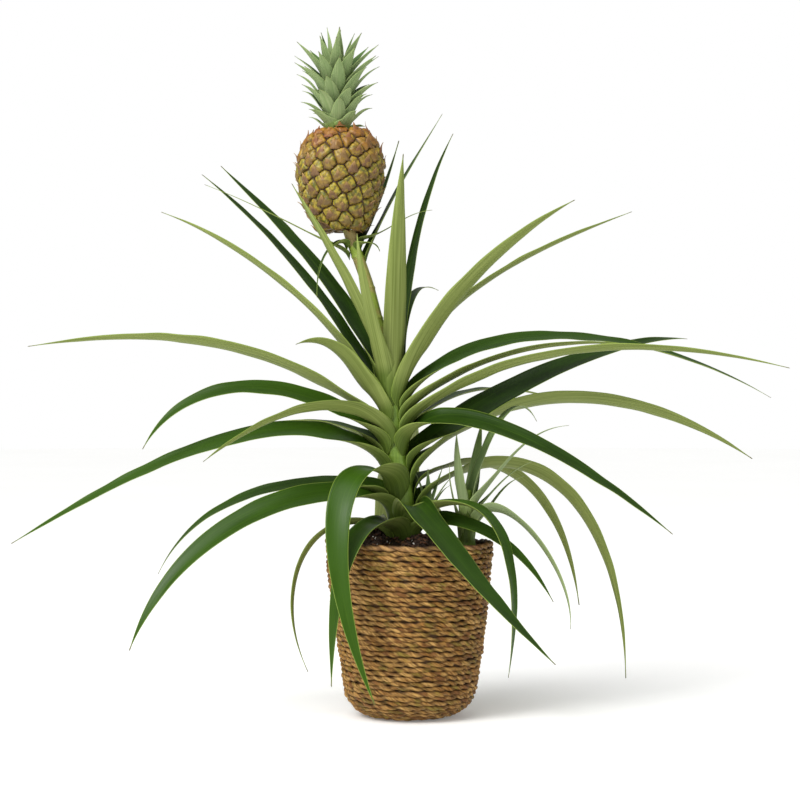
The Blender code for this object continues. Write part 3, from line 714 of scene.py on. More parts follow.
# Leaves: long channelled blades in a golden-angle spiral up the stem. Each clasps the stem
# with a broad pale sheath inside the leaf below it, then springs out, arches and tapers.
Leaf = namedtuple(
    "Leaf",
    "turn root rise reach tip fall width base roll tip_roll spring ease sway",
    defaults=(0.010, 0, 0, 0.36, 0.36, 0.0),
)
LEAVES = {
    "low_leaf": (
        (186, 0.146, 30, 0.077, 0.036, -115, 0.011, 0.008, 28, 28, 0.52, 0.62),
        (234, 0.150, 16, 0.094, 0.034, -95, 0.025, 0.012, 0, 0, 0.42, 0.74, 0.008),
        (333, 0.158, 30, 0.092, 0.036, -99, 0.024, 0.010, 0, 0, 0.58, 0.60),
        (345, 0.149, 30, 0.121, 0.094, -61, 0.019, 0.010, 25, 25, 0.30, 0.46),
        (104, 0.152, 8, 0.140, 0.060, -66, 0.020),
        (299, 0.165, 38, 0.221, 0.066, -28, 0.030, 0.010, 0, 0, 0.14, 0.52, -0.015),
        (70, 0.164, 20, 0.145, 0.060, -70, 0.020),
        (199, 0.170, 22, 0.220, 0.061, -70, 0.027, 0.012, -30, -45, 0.30, 0.42),
        (164, 0.177, 18, 0.209, 0.108, -63, 0.018, 0.012, -35, -35, 0.27, 0.41),
        (26, 0.170, 38, 0.211, 0.017, -89, 0.018, 0.010, -45, -15, 0.49, 0.62),
        (97, 0.182, 34, 0.175, 0.090, -60, 0.021),
        (42, 0.184, 25, 0.210, 0.074, -80, 0.014, 0.010, -30, -30, 0.45, 0.48),
        (260, 0.189, 28, 0.104, 0.024, -80, 0.024, 0.009, 0, 0, 0.46, 0.50, -0.044),
    ),
    "middle_leaf": (
        (187, 0.203, 40, 0.303, 0.140, -31, 0.026, 0.012, -30, -30, 0.30, 0.44),
        (16, 0.206, 38, 0.252, 0.303, -4, 0.028, 0.012, 40, 20, 0.36, 0.22),
        (333, 0.222, 52, 0.233, 0.152, -37, 0.025, 0.012, 35, 20, 0.22, 0.46),
        (25, 0.194, 44, 0.340, 0.201, -30, 0.023, 0.012, -35, -35, 0.36, 0.40),
        (148, 0.210, 38, 0.180, 0.215, -20, 0.019),
        (84, 0.216, 46, 0.200, 0.180, -36, 0.021),
        (190, 0.220, 44, 0.200, 0.214, -62, 0.023, 0.012, -35, -40, 0.34, 0.44),
        (216, 0.226, 46, 0.176, 0.206, -34, 0.021, 0.012, 20, 40, 0.36, 0.30),
        (353, 0.233, 42, 0.311, 0.277, -14, 0.017, 0.010, -25, -25, 0.34, 0.36),
        (1, 0.242, 44, 0.195, 0.296, -6, 0.015, 0.010, -20, -20, 0.34, 0.36),
        (46, 0.228, 34, 0.205, 0.252, -12, 0.019),
        (172, 0.233, 38, 0.303, 0.296, -8, 0.020, 0.012, 30, 30, 0.36, 0.42),
        (6, 0.251, 56, 0.310, 0.254, -30, 0.019, 0.010, 35, 20, 0.30, 0.40),
    ),
    "upright_leaf": (
        (68, 0.260, 84, 0.105, 0.345, -8, 0.012, 0.008, 0, 0, 0.50, 0.50),
        (198, 0.243, 60, 0.080, 0.296, -22, 0.022, 0.012, 20, 40, 0.40, 0.40),
        (338, 0.258, 74, 0.152, 0.406, 25, 0.019, 0.009, -30, -30, 0.32, 0.30),
        (8, 0.2655, 70, 0.198, 0.405, 21, 0.017, 0.009, -20, -20, 0.34, 0.30),
        (292, 0.266, 86, 0.028, 0.445, 78, 0.021, 0.009, 0, 0, 0.34, 0.34),
        (38, 0.270, 84, 0.066, 0.470, 58, 0.015, 0.008, 0, 0, 0.34, 0.34),
        (177, 0.251, 62, 0.186, 0.403, 20, 0.016, 0.009, 25, 25, 0.34, 0.30),
        (164, 0.2585, 62, 0.162, 0.437, 38, 0.015, 0.008, -20, -20, 0.34, 0.30),
        (146, 0.272, 66, 0.172, 0.450, 40, 0.017, 0.008, -20, -20, 0.34, 0.30),
        (122, 0.254, 68, 0.085, 0.362, 40, 0.014, 0.008),
        (204, 0.286, 74, 0.080, 0.421, 58, 0.014, 0.008, 20, 20, 0.34, 0.30),
        (242, 0.272, 68, 0.052, 0.381, 84, 0.013, 0.007, 0, 0, 0.30, 0.30),
    ),
}
BLADE_TAPER = 2.3
TIP_WIDTH = 0.0010
SHEATH_LENGTH = 0.019
BLADE_HALF_ANGLE = 0.42
ACROSS_POINTS = 13


def leaf_line(leaf, axis, skin, sheath, stations=72):
    """Midrib, direction and share along a leaf, from the foot of its sheath to its tip.

    The blade is a cubic curve from the stem's skin to the tip that leaves at the rise angle
    and arrives at the fall angle; the sheath is a straight run up the stem before it. The
    two are joined, spaced evenly, and eased together near the bend.
    """
    turn = math.radians(leaf.turn)
    outward = np.array((math.cos(turn), math.sin(turn), 0.0))
    up = np.array((0.0, 0.0, 1.0))
    left = np.cross(up, outward)
    rise, fall = math.radians(leaf.rise), math.radians(leaf.fall)
    start = axis + outward * skin
    tip = axis + outward * leaf.reach + up * (leaf.tip - axis[2])
    chord = np.linalg.norm(tip - start)
    bow = left * leaf.sway
    first = start + chord * leaf.spring * (outward * math.cos(rise) + up * math.sin(rise)) + bow
    last = tip - chord * leaf.ease * (outward * math.cos(fall) + up * math.sin(fall)) + bow
    s = np.linspace(0.0, 1.0, 160)[:, None]
    blade = start * (1 - s) ** 3 + 3 * first * s * (1 - s) ** 2
    blade = blade + 3 * last * s**2 * (1 - s) + tip * s**3
    down = np.linspace(-1.0, 0.0, 20)[:-1, None]
    foot = start + up * sheath * down + outward * (skin * 0.16) * down
    line = np.concatenate([foot, blade])
    share = np.concatenate([down[:, 0] * 0.05, s[:, 0]])
    run = np.concatenate([[0], np.cumsum(np.linalg.norm(np.diff(line, axis=0), axis=1))])
    even = run[-1] * np.linspace(0, 1, stations) ** 1.12
    line = np.stack([np.interp(even, run, line[:, k]) for k in range(3)], 1)
    share = np.interp(even, run, share)
    bend = np.exp(-(((even - sheath) / (sheath * 1.6 + 0.004)) ** 2))[1:-1, None]
    for _ in range(10):
        eased = (line[:-2] + line[2:]) / 2
        line[1:-1] += (eased - line[1:-1]) * bend * 0.7
    return line, share, even, left


def leaf_surface(leaf, axis, skin, rng, sheath=SHEATH_LENGTH, stations=72, clasp=1.0, gap=1.0):
    """Points and values of one blade as a closed loop carried along its midrib.

    The loop is an arc of the blade's width: on the sheath it closes round the stem, and it
    opens to a shallow channel over 40 mm. The width tapers as 1 - share^2.3. The flesh is
    thickest on the midrib and thins as 1 - u² to the margins, and the margins ripple a little.
    """
    line, share, run, left = leaf_line(leaf, axis, skin, sheath, stations)
    ahead = np.gradient(line, axis=0)
    ahead = ahead / np.linalg.norm(ahead, axis=1)[:, None]
    level = left - ahead * (ahead @ left)[:, None]
    level = level / np.linalg.norm(level, axis=1)[:, None]
    above = np.cross(ahead, level)
    held = np.clip(share * 5, 0.0, 1.0)
    roll = np.radians(leaf.roll + (leaf.tip_roll - leaf.roll) * np.maximum(share, 0)) * held
    cos, sin = np.cos(roll)[:, None], np.sin(roll)[:, None]
    across, upper = level * cos + above * sin, above * cos - level * sin
    clasp_width = min(leaf.width * 1.15 + 0.010, 2.7 * skin) * clasp
    clasp_angle = clasp_width / (2 * skin)
    open_over = min(0.050, 0.30 * run[-1])
    opened = smooth_step(sheath * 0.7, sheath + open_over, run)
    width = clasp_width + (leaf.width - clasp_width) * opened
    width = width * (1 + 0.025 * wander(rng, run, 0.035))
    width = width * (0.12 + 0.88 * smooth_step(-0.15 * sheath, sheath, run))
    width = np.maximum(width * (1 - np.maximum(share, 0) ** BLADE_TAPER), TIP_WIDTH)
    half_angle = clasp_angle + (BLADE_HALF_ANGLE - clasp_angle) * opened
    half_angle = half_angle * (0.12 + 0.88 * smooth_step(-0.15 * sheath, sheath, run))
    half_angle = half_angle * (1 + 0.18 * wander(rng, run, 0.05) * opened)
    radius = width / (2 * half_angle)
    u = np.linspace(-1.0, 1.0, ACROSS_POINTS)[None, :]
    bend = u * half_angle[:, None]
    side_step = radius[:, None] * np.sin(bend)
    lift = radius[:, None] * (1 - np.cos(bend))
    margin = np.stack([wander(rng, run, 0.018), wander(rng, run, 0.018)], 1)
    ripple = np.where(u < 0, margin[:, :1], margin[:, 1:]) * u**2 * 0.00055
    lift = lift + ripple * opened[:, None] * np.minimum(1, width / 0.012)[:, None]
    skin_line = line[:, None, :] + across[:, None, :] * side_step[..., None]
    skin_line = skin_line + upper[:, None, :] * lift[..., None]
    inward = upper[:, None, :] * np.cos(bend)[..., None] - across[:, None, :] * np.sin(bend)[..., None]
    flesh = (0.00014 + 0.00038 * (1 - u**2)) * gap
    flesh = flesh * np.minimum(1.0, 0.25 + width / 0.010)[:, None]
    top = skin_line + inward * flesh[..., None]
    bottom = skin_line - inward * flesh[..., None]
    loop = np.concatenate([top, bottom[:, ::-1]], 1)
    columns = 2 * ACROSS_POINTS
    rows = len(line)
    ends = np.stack([loop[0].mean(0), loop[-1].mean(0) + ahead[-1] * TIP_WIDTH])
    points = np.concatenate([loop.reshape(-1, 3), ends])
    faces = capped_quads(rows, columns)
    both = np.concatenate([u, u[:, ::-1]], 1)
    across_run = both * width[:, None] / 2
    seed = np.full(across_run.shape, rng.uniform(0, 9))
    along_run = np.broadcast_to(run[:, None], across_run.shape)
    blade = np.stack([across_run, along_run, seed], -1).reshape(-1, 3)
    under = np.broadcast_to(np.repeat([0.0, 1.0], ACROSS_POINTS)[None, :], across_run.shape)
    edge = np.broadcast_to(np.abs(both), across_run.shape)
    along_share = np.broadcast_to(share[:, None], across_run.shape)
    clearance = (1 - edge) * width[:, None] / 2
    values = {
        "blade": np.concatenate([blade, blade[[0, -1]]]),
        "under": np.append(under.ravel(), (0.5, 0.5)),
        "margin": np.append(clearance.ravel(), (0.001, 0.001)),
        "share": np.append(along_share.ravel(), share[[0, -1]]),
        "tint": np.full(len(points), rng.uniform(0, 1)),
    }
    return points, faces, values


def leaf_finish(name, upper, under, foot, edge_tone, roughness, bloom):
    """Living pineapple leaf: a green upper side, a paler scurfy under side with fine lines.

    The sheath is yellow-green and fades into the blade; a pale line follows each margin,
    and bloom is how much of a powdery grey wax lies over both sides.
    """
    finish, tree, shader = new_finish(name, Roughness=roughness)
    shader.inputs["Specular IOR Level"].default_value = 0.15
    blade_read = add(tree, "Attribute", attribute_name="blade")
    under_read = add(tree, "Attribute", attribute_name="under")
    share_read = add(tree, "Attribute", attribute_name="share")
    margin_read = add(tree, "Attribute", attribute_name="margin")
    tint_read = add(tree, "Attribute", attribute_name="tint")
    # veins about 0.9 mm apart and 80 mm long
    veins_at = add(tree, "Mapping", {"Vector": blade_read.outputs["Vector"], "Scale": (1100, 12, 1)})
    veins = add(tree, "TexNoise", {"Vector": veins_at.outputs[0], "Scale": 1.0, "Detail": 2.0})
    # lighter and darker lengths of 30 to 60 mm
    spans_at = add(tree, "Mapping", {"Vector": blade_read.outputs["Vector"], "Scale": (120, 26, 1)})
    spans = add(tree, "TexNoise", {"Vector": spans_at.outputs[0], "Scale": 1.0, "Detail": 3.0})
    mottle = add(tree, "Math", {0: spans.outputs["Fac"], 1: tint_read.outputs["Fac"]})
    mottle = add(tree, "MapRange", {"Value": mottle.outputs[0], "From Min": 0.5, "From Max": 1.5})
    top = add(tree, "Mix", {0: mottle.outputs[0], 6: linear(upper[0]), 7: linear(upper[1])}, data_type="RGBA")
    lines = add(tree, "MapRange", {"Value": veins.outputs["Fac"], "From Min": 0.25, "From Max": 0.75})
    below = add(
        tree,
        "Mix",
        {0: lines.outputs[0], 6: linear(under[0]), 7: linear(under[1])},
        data_type="RGBA",
    )
    vein_light = add(tree, "MapRange", {"Value": veins.outputs["Fac"], "From Min": 0.52})
    vein_light.inputs["From Max"].default_value = 0.75
    vein_light.inputs["To Max"].default_value = 0.35
    top = add(
        tree,
        "Mix",
        {0: vein_light.outputs[0], 6: top.outputs[2], 7: linear(upper[2])},
        data_type="RGBA",
    )
    tone = add(
        tree,
        "Mix",
        {0: under_read.outputs["Fac"], 6: top.outputs[2], 7: below.outputs[2]},
        data_type="RGBA",
    )
    near_foot = add(tree, "MapRange", {"Value": share_read.outputs["Fac"]})
    near_foot.interpolation_type = "SMOOTHSTEP"
    near_foot.inputs["From Min"].default_value = 0.10
    near_foot.inputs["From Max"].default_value = -0.03
    near_foot.inputs["To Max"].default_value = 0.85
    foot_tone = add(
        tree,
        "Mix",
        {0: lines.outputs[0], 6: linear(foot[0]), 7: linear(foot[1])},
        data_type="RGBA",
    )
    tone = add(
        tree,
        "Mix",
        {0: near_foot.outputs[0], 6: tone.outputs[2], 7: foot_tone.outputs[2]},
        data_type="RGBA",
    )
    # the pale margin is 0.4 mm wide
    rim = add(tree, "MapRange", {"Value": margin_read.outputs["Fac"], "From Min": 0.0005})
    rim.inputs["From Max"].default_value = 0.0001
    rim.inputs["To Max"].default_value = 0.7
    tone = add(tree, "Mix", {0: rim.outputs[0], 6: tone.outputs[2], 7: linear(edge_tone)}, data_type="RGBA")
    dry = add(tree, "MapRange", {"Value": share_read.outputs["Fac"], "From Min": 0.975})
    dry.inputs["To Max"].default_value = 0.8
    tone = add(tree, "Mix", {0: dry.outputs[0], 6: tone.outputs[2], 7: linear("#5F5235")}, data_type="RGBA")
    wax = add(tree, "MapRange", {"Value": spans.outputs["Fac"], "From Min": 0.3, "From Max": 0.7})
    wax.inputs["To Min"].default_value = bloom * 0.5
    wax.inputs["To Max"].default_value = bloom
    tone = add(tree, "Mix", {0: wax.outputs[0], 6: tone.outputs[2], 7: linear("#B9C4AE")}, data_type="RGBA")
    surface(tree, shader, tone)
    dull = add(tree, "MapRange", {"Value": under_read.outputs["Fac"]})
    dull.inputs["To Min"].default_value = roughness
    dull.inputs["To Max"].default_value = min(1.0, roughness + 0.18)
    uneven = add(tree, "Math", {0: spans.outputs["Fac"], 1: 0.16}, operation="MULTIPLY")
    dull = add(tree, "Math", {0: dull.outputs[0], 1: uneven.outputs[0]}, operation="ADD")
    tree.links.new(dull.outputs[0], shader.inputs["Roughness"])
    relief = add(tree, "Bump", {"Height": veins.outputs["Fac"], "Strength": 0.25, "Distance": 0.0003})
    tree.links.new(relief.outputs[0], shader.inputs["Normal"])
    return finish


# Mature leaf, living: a waxed deep green upper side with soft highlights.
leaf_green = leaf_finish(
    "pineapple_leaf_living",
    upper=("#1B3204", "#2F4E08", "#466614"),
    under=("#667434", "#8E9A54"),
    foot=("#344A08", "#4A6210"),
    edge_tone="#8EA446",
    roughness=0.27,
    bloom=0.006,
)

for group, rows in LEAVES.items():
    for number, row in enumerate(rows, 1):
        leaf = Leaf(*row)
        node = f"{group}_{number:02d}"
        axis = np.array((axis_x(leaf.root), 0.0, leaf.root))
        skin = float(stem_radius(leaf.root)) + 0.0022
        leaf_rng = np.random.default_rng(sum(map(ord, node)) * 7 + number)
        points, faces, values = leaf_surface(leaf, axis, skin, leaf_rng)
        blade = make_piece(f"{node}_blade", points, faces, leaf_green, values)
        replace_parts(blade, node)

# Fruit stalk: the round stem that carries the fruit, tan where it has hardened, with a
# raised ring at each joint, green bands along it, and narrow bracts growing from the joints.
STALK_JOINTS = (0.292, 0.318, 0.342, 0.366, 0.379)


def stalk_ribs(height, angle):
    """A raised ring at each joint and fine ribs between them."""
    rings = sum(np.exp(-(((height - joint) / 0.0011) ** 2)) for joint in STALK_JOINTS)
    return 0.10 * rings + 0.012 * np.sin(13 * angle + 40 * height)


# Pineapple stalk, living: tan to brown skin with bands of green along it.
stalk_skin, tree, shader = new_finish("pineapple_stalk_living", Roughness=0.5)
place = add(tree, "TexCoord")
rise_at = add(tree, "Mapping", {"Vector": place.outputs["Object"], "Scale": (800, 800, 50)})
fibres = add(tree, "TexNoise", {"Vector": rise_at.outputs[0], "Scale": 1.0, "Detail": 3.0})
bands_at = add(tree, "Mapping", {"Vector": place.outputs["Object"], "Scale": (20, 20, 85)})
bands = add(tree, "TexNoise", {"Vector": bands_at.outputs[0], "Scale": 1.0, "Detail": 1.0})
tone = add(
    tree,
    "Mix",
    {0: fibres.outputs["Fac"], 6: linear("#8C7A42"), 7: linear("#B5A568")},
    data_type="RGBA",
)
green = add(tree, "MapRange", {"Value": bands.outputs["Fac"], "From Min": 0.42, "From Max": 0.58})
tone = add(tree, "Mix", {0: green.outputs[0], 6: tone.outputs[2], 7: linear("#8FA53C")}, data_type="RGBA")
surface(tree, shader, tone, fibres.outputs["Fac"], 0.4, 0.0003)

stalk_low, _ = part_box("fruit_stalk")
column_z = np.linspace(stalk_low.z, 0.3878, 170)
stalk = round_column(
    "fruit_stalk_column",
    axis_x(column_z),
    np.zeros(170),
    column_z,
    np.full(170, STALK_RADIUS),
    stalk_ribs,
    stalk_skin,
)
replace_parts(stalk, "fruit_stalk")

STALK_BRACTS = (
    (20, 0.366, 68, 0.072, 0.484, 58, 0.010, 0.005, 0, 0, 0.34, 0.34),
    (176, 0.370, 26, 0.122, 0.425, 21, 0.0050, 0.005),
    (205, 0.378, 2, 0.031, 0.334, -92, 0.0060, 0.005, 0, 0, 0.34, 0.44),
    (60, 0.376, 46, 0.072, 0.467, 62, 0.0055, 0.005),
    (352, 0.380, 10, 0.064, 0.403, 4, 0.0040, 0.004),
    (318, 0.376, 18, 0.028, 0.370, -66, 0.0055, 0.004),
)
for number, row in enumerate(STALK_BRACTS, 1):
    leaf = Leaf(*row)
    node = f"stalk_bract_{number:02d}"
    axis = np.array((axis_x(leaf.root), 0.0, leaf.root))
    leaf_rng = np.random.default_rng(300 + number)
    points, faces, values = leaf_surface(
        leaf, axis, STALK_RADIUS + 0.0014, leaf_rng, sheath=0.006, stations=56, clasp=0.8
    )
    blade = make_piece(f"{node}_blade", points, faces, leaf_green, values)
    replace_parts(blade, node)

# Fruit: some hundred and twenty fruitlets grown together in a spiral. Each shows as an eye with a
# dark seam round it, flat sepals above, and a papery bract that ends in a point below.
FRUIT_X = -0.0555
FRUIT_FOOT_Z = 0.3885
FRUIT_HEIGHT = 0.079
FRUIT_RADIUS = 0.0350
EYES = 124
GOLDEN_ANGLE = math.radians(137.508)
EYE_DEPTH = 0.0022
SEAM_DEPTH = 0.0010


def fruit_outline():
    """Radius and height of the rind from its foot to its top, evenly along the outline.

    Radius = full radius times sin(pi (0.06 + 0.88 skewed)) to the power 0.36, where the
    skewed share lags by 0.10 sin(pi share), so the shoulders are squarer than the foot. A
    slightly hollow disc closes each end.
    """
    share = np.linspace(0.0, 1.0, 240)
    skewed = share - 0.10 * np.sin(math.pi * share)
    radius = (FRUIT_RADIUS - 0.0012) * np.sin(math.pi * (0.06 + 0.88 * skewed)) ** 0.36
    inward = np.linspace(0.02, 1.0, 24)
    radii = np.concatenate([radius[0] * inward[:-1], radius, radius[-1] * inward[::-1][1:]])
    dish = 0.0022 * (1 - inward[:-1] ** 2)
    levels = np.concatenate([dish, FRUIT_HEIGHT * share, FRUIT_HEIGHT - dish[::-1]])
    run = np.concatenate([[0], np.cumsum(np.hypot(np.diff(radii), np.diff(levels)))])
    even = np.linspace(0, run[-1], 262)
    radii, levels = np.interp(even, run, radii), np.interp(even, run, levels)
    kernel = np.ones(7) / 7
    radii[3:-3] = np.convolve(radii, kernel, mode="valid")
    levels[3:-3] = np.convolve(levels, kernel, mode="valid")
    return even, radii, levels


def eye_frames():
    """Centre, rightward, upward and outward directions and size share of each eye.

    Eyes follow one another by the golden angle, each taking the same area of rind.
    """
    run, radii, levels = fruit_outline()
    area = np.concatenate([[0], np.cumsum((radii[1:] + radii[:-1]) / 2 * np.diff(run))])
    share = (np.arange(EYES) + 0.5) / EYES
    place = np.interp(share * area[-1], area, run)
    radius, level = np.interp(place, run, radii), np.interp(place, run, levels)
    slope_r = np.interp(place, run, np.gradient(radii, run))
    slope_z = np.interp(place, run, np.gradient(levels, run))
    turn = GOLDEN_ANGLE * np.arange(EYES) + 0.4
    cos, sin = np.cos(turn), np.sin(turn)
    centre = np.stack([radius * cos, radius * sin, level], 1)
    right = np.stack([-sin, cos, np.zeros(EYES)], 1)
    upward = np.stack([slope_r * cos, slope_r * sin, slope_z], 1)
    upward = upward / np.linalg.norm(upward, axis=1)[:, None]
    return centre, right, upward, np.cross(right, upward), share


def fruit_rind(name, rng):
    """The rind as a grid round the outline, raised over each eye and sunk along the seams.

    For each point the nearest two eye centres give q, the ratio of their distances. The
    rise is depth (1 - q³), less a seam where q nears 1, less creases between the sepals.
    """
    run, radii, levels = fruit_outline()
    rows, columns = len(run), 356
    angle = (2 * math.pi * np.arange(columns) / columns)[None, :]
    points = np.stack(
        [radii[:, None] * np.cos(angle), radii[:, None] * np.sin(angle)]
        + [np.broadcast_to(levels[:, None], (rows, columns))],
        -1,
    ).reshape(-1, 3)
    slope_r, slope_z = np.gradient(radii, run), np.gradient(levels, run)
    length = np.hypot(slope_r, slope_z)
    out_r, out_z = (slope_z / length)[:, None], (-slope_r / length)[:, None]
    outward = np.stack(
        [out_r * np.cos(angle), out_r * np.sin(angle), np.broadcast_to(out_z, (rows, columns))], -1
    ).reshape(-1, 3)
    centre, right, upward, _, _ = eye_frames()
    jitter = rng.normal(0, 0.0014, (EYES, 2))
    centre = centre + right * jitter[:, :1] + upward * jitter[:, 1:]
    gap = points[:, None, :].astype(np.float32) - centre[None].astype(np.float32)
    distance = np.sqrt(np.einsum("pek,pek->pe", gap, gap))
    order = np.argpartition(distance, 1, axis=1)[:, :2]
    nearest = np.take_along_axis(distance, order, 1)
    flip = nearest[:, 0] > nearest[:, 1]
    eye = np.where(flip, order[:, 1], order[:, 0])
    q = nearest.min(1) / nearest.max(1)
    own = points - centre[eye]
    x = np.sum(own * right[eye], 1) / 0.0068
    y = np.sum(own * upward[eye], 1) / 0.0068
    seam = np.exp(-(((1 - q) / 0.16) ** 2))
    around = np.arctan2(x, y)
    crease = np.exp(-((np.abs(np.abs(around) - 0.62) * np.hypot(x, y) / 0.10) ** 2)) * (y > 0)
    keel = np.exp(-((x / 0.16) ** 2)) * smooth_step(0.1, -0.5, y)
    bract_edge = smooth_step(0.10, -0.10, y - 0.55 * (0.35 - np.abs(x)))
    body = smooth_step(0.0, 0.06, run / run[-1]) * smooth_step(1.0, 0.94, run / run[-1])
    body = np.repeat(body, columns)
    eye_size = 1 + rng.uniform(-0.25, 0.25, EYES)[eye]
    rise = EYE_DEPTH * eye_size * (1 - q**3) - SEAM_DEPTH * seam - 0.0004 * crease
    rise = rise + 0.0005 * keel + 0.0004 * bract_edge * (1 - seam)
    rise = (rise - 0.0007) * body
    points = points + outward * rise[:, None]
    points = points + (FRUIT_X, 0.0, FRUIT_FOOT_Z)
    ends = [[FRUIT_X, 0, FRUIT_FOOT_Z + 0.0022], [FRUIT_X, 0, FRUIT_FOOT_Z + FRUIT_HEIGHT - 0.0022]]
    faces = capped_quads(rows, columns)
    pad = (0.0, 0.0)
    values = {
        "seam": np.append(seam, pad),
        "eye": np.concatenate([np.stack([x, y, eye * 1.7], 1), np.zeros((2, 3))]),
        "bract": np.append(bract_edge * (1 - seam), pad),
        "eye_tint": np.append(rng.uniform(0, 1, EYES)[eye], pad),
        "crease": np.append(crease, pad),
        "climb": np.append(np.repeat(levels / FRUIT_HEIGHT, columns), (0.0, 1.0)),
    }
    return make_piece(name, np.concatenate([points, ends]), faces, rind, values)


def fruit_bracts(name, rng):
    """A papery scale over the lower half of each eye: a small curved triangle of two skins.

    Across it is an arc that narrows in a straight line to the point; along it the scale
    lies on the rind, then lifts with the square of its length.
    """
    centre, right, upward, outward, share = eye_frames()
    count, rows, half = EYES, 8, 5
    s = np.linspace(0.0, 1.0, rows)[None, :, None]
    u = np.linspace(-1.0, 1.0, half)[None, None, :]
    size = rng.uniform(0.75, 1.15, (count, 1, 1))
    ends_up = smooth_step(0.72, 0.95, share)[:, None, None]
    length = 0.0086 * size * (1 + 0.25 * ends_up)
    lift = rng.uniform(0.0012, 0.0056, (count, 1, 1)) * (1 + 0.4 * ends_up)
    width = 0.0043 * size * (1 - s**1.4) + 0.0002
    lean = rng.uniform(-0.25, 0.25, (count, 1, 1))
    along = -0.0056 + length * s
    side = width * u + lean * length * s**2
    proud = 0.0003 + 0.0009 * np.sin(math.pi * np.minimum(s * 1.2, 1)) * (1 - u**2) + lift * s**2.4
    proud = proud + 0.0008 * (1 - s)
    def skin_at(extra):
        place = centre[:, None, None, :] + right[:, None, None, :] * side[..., None]
        place = place + upward[:, None, None, :] * (along + 0 * u)[..., None]
        return place + outward[:, None, None, :] * (proud + extra)[..., None]
    sunk = -(side**2 + along**2) / (2 * FRUIT_RADIUS)
    loop = np.concatenate([skin_at(sunk + 0.0002), skin_at(sunk - 0.0002)[:, :, ::-1]], 2)
    columns = 2 * half
    each = rows * columns
    points = loop.reshape(-1, 3) + (FRUIT_X, 0.0, FRUIT_FOOT_Z)
    shift = (np.arange(count) * each)[:, None, None]
    faces = [(grid_quads(rows, columns)[None] + shift).reshape(-1, 4)]
    strip = np.arange(half - 1)
    cap = np.stack([strip + 1, strip, columns - 1 - strip, columns - 2 - strip], 1)
    faces.append((cap[None] + shift).reshape(-1, 4))
    faces.append((cap[None, :, ::-1] + shift + each - columns).reshape(-1, 4))
    reach = np.broadcast_to(s, (count, rows, columns)).ravel()
    tint = np.repeat(rng.uniform(0, 1, count), each)
    climb = np.repeat(share, each)
    values = {"reach": reach, "tint": tint, "climb": climb}
    return make_piece(name, points, faces, papery, values)


# Pineapple rind, ripening: waxy olive-yellow sepals, browner bracts, dark red-brown seams,
# and orange towards the top.
rind, tree, shader = new_finish("pineapple_rind_ripening", Roughness=0.45)
place = add(tree, "TexCoord")
eye_read = add(tree, "Attribute", attribute_name="eye")
seam_read = add(tree, "Attribute", attribute_name="seam")
bract_read = add(tree, "Attribute", attribute_name="bract")
tint_read = add(tree, "Attribute", attribute_name="eye_tint")
crease_read = add(tree, "Attribute", attribute_name="crease")
climb_read = add(tree, "Attribute", attribute_name="climb")
speck = add(tree, "TexNoise", {"Vector": place.outputs["Object"], "Scale": 900.0, "Detail": 4.0})
facet = add(tree, "TexNoise", {"Vector": eye_read.outputs["Vector"], "Scale": 2.2, "Detail": 4.0})
ripe = add(tree, "MapRange", {"Value": facet.outputs["Fac"], "From Min": 0.40, "From Max": 0.60})
tone = add(tree, "Mix", {0: ripe.outputs[0], 6: linear("#565816"), 7: linear("#AA982A")}, data_type="RGBA")
warm = add(tree, "MapRange", {"Value": tint_read.outputs["Fac"], "From Min": 0.55, "From Max": 1.0})
warm.inputs["To Max"].default_value = 0.55
husk = add(tree, "Math", {0: bract_read.outputs["Fac"], 1: 0.62}, operation="MULTIPLY")
sunny = add(tree, "MapRange", {"Value": climb_read.outputs["Fac"], "From Min": 0.7, "From Max": 1.0})
blush = add(tree, "Math", {0: sunny.outputs[0], 1: facet.outputs["Fac"]}, operation="MULTIPLY")
speckle = add(tree, "MapRange", {"Value": speck.outputs["Fac"], "From Min": 0.56, "From Max": 0.7})
speckle.inputs["To Max"].default_value = 0.5
line = add(tree, "Math", {0: crease_read.outputs["Fac"], 1: 0.55}, operation="MULTIPLY")
dark = add(tree, "MapRange", {"Value": seam_read.outputs["Fac"], "From Min": 0.25, "From Max": 0.8})
for share, colour in (
    (warm, "#A67C28"),
    (husk, "#6C441E"),
    (blush, "#AC5E20"),
    (speckle, "#5C4420"),
    (line, "#6B5226"),
    (dark, "#42240F"),
):
    tone = add(tree, "Mix", {0: share.outputs[0], 6: tone.outputs[2], 7: linear(colour)}, data_type="RGBA")
surface(tree, shader, tone, speck.outputs["Fac"], 0.35, 0.0004)

# Dried bract, papery: pinkish brown with a bleached point, redder near the crown.
papery, tree, shader = new_finish("pineapple_bract_papery", Roughness=0.6)
place = add(tree, "TexCoord")
reach_read = add(tree, "Attribute", attribute_name="reach")
tint_read = add(tree, "Attribute", attribute_name="tint")
climb_read = add(tree, "Attribute", attribute_name="climb")
rise_at = add(tree, "Mapping", {"Vector": place.outputs["Object"], "Scale": (900, 900, 160)})
fibres = add(tree, "TexNoise", {"Vector": rise_at.outputs[0], "Scale": 1.0, "Detail": 3.0})
tone = add(
    tree,
    "Mix",
    {0: fibres.outputs["Fac"], 6: linear("#4E301C"), 7: linear("#84643A")},
    data_type="RGBA",
)
green = add(tree, "MapRange", {"Value": tint_read.outputs["Fac"], "From Min": 0.5, "From Max": 0.9})
green.inputs["To Max"].default_value = 0.6
tip = add(tree, "MapRange", {"Value": reach_read.outputs["Fac"], "From Min": 0.55, "From Max": 0.95})
red = add(tree, "MapRange", {"Value": climb_read.outputs["Fac"], "From Min": 0.6, "From Max": 1.0})
red.inputs["To Max"].default_value = 0.6
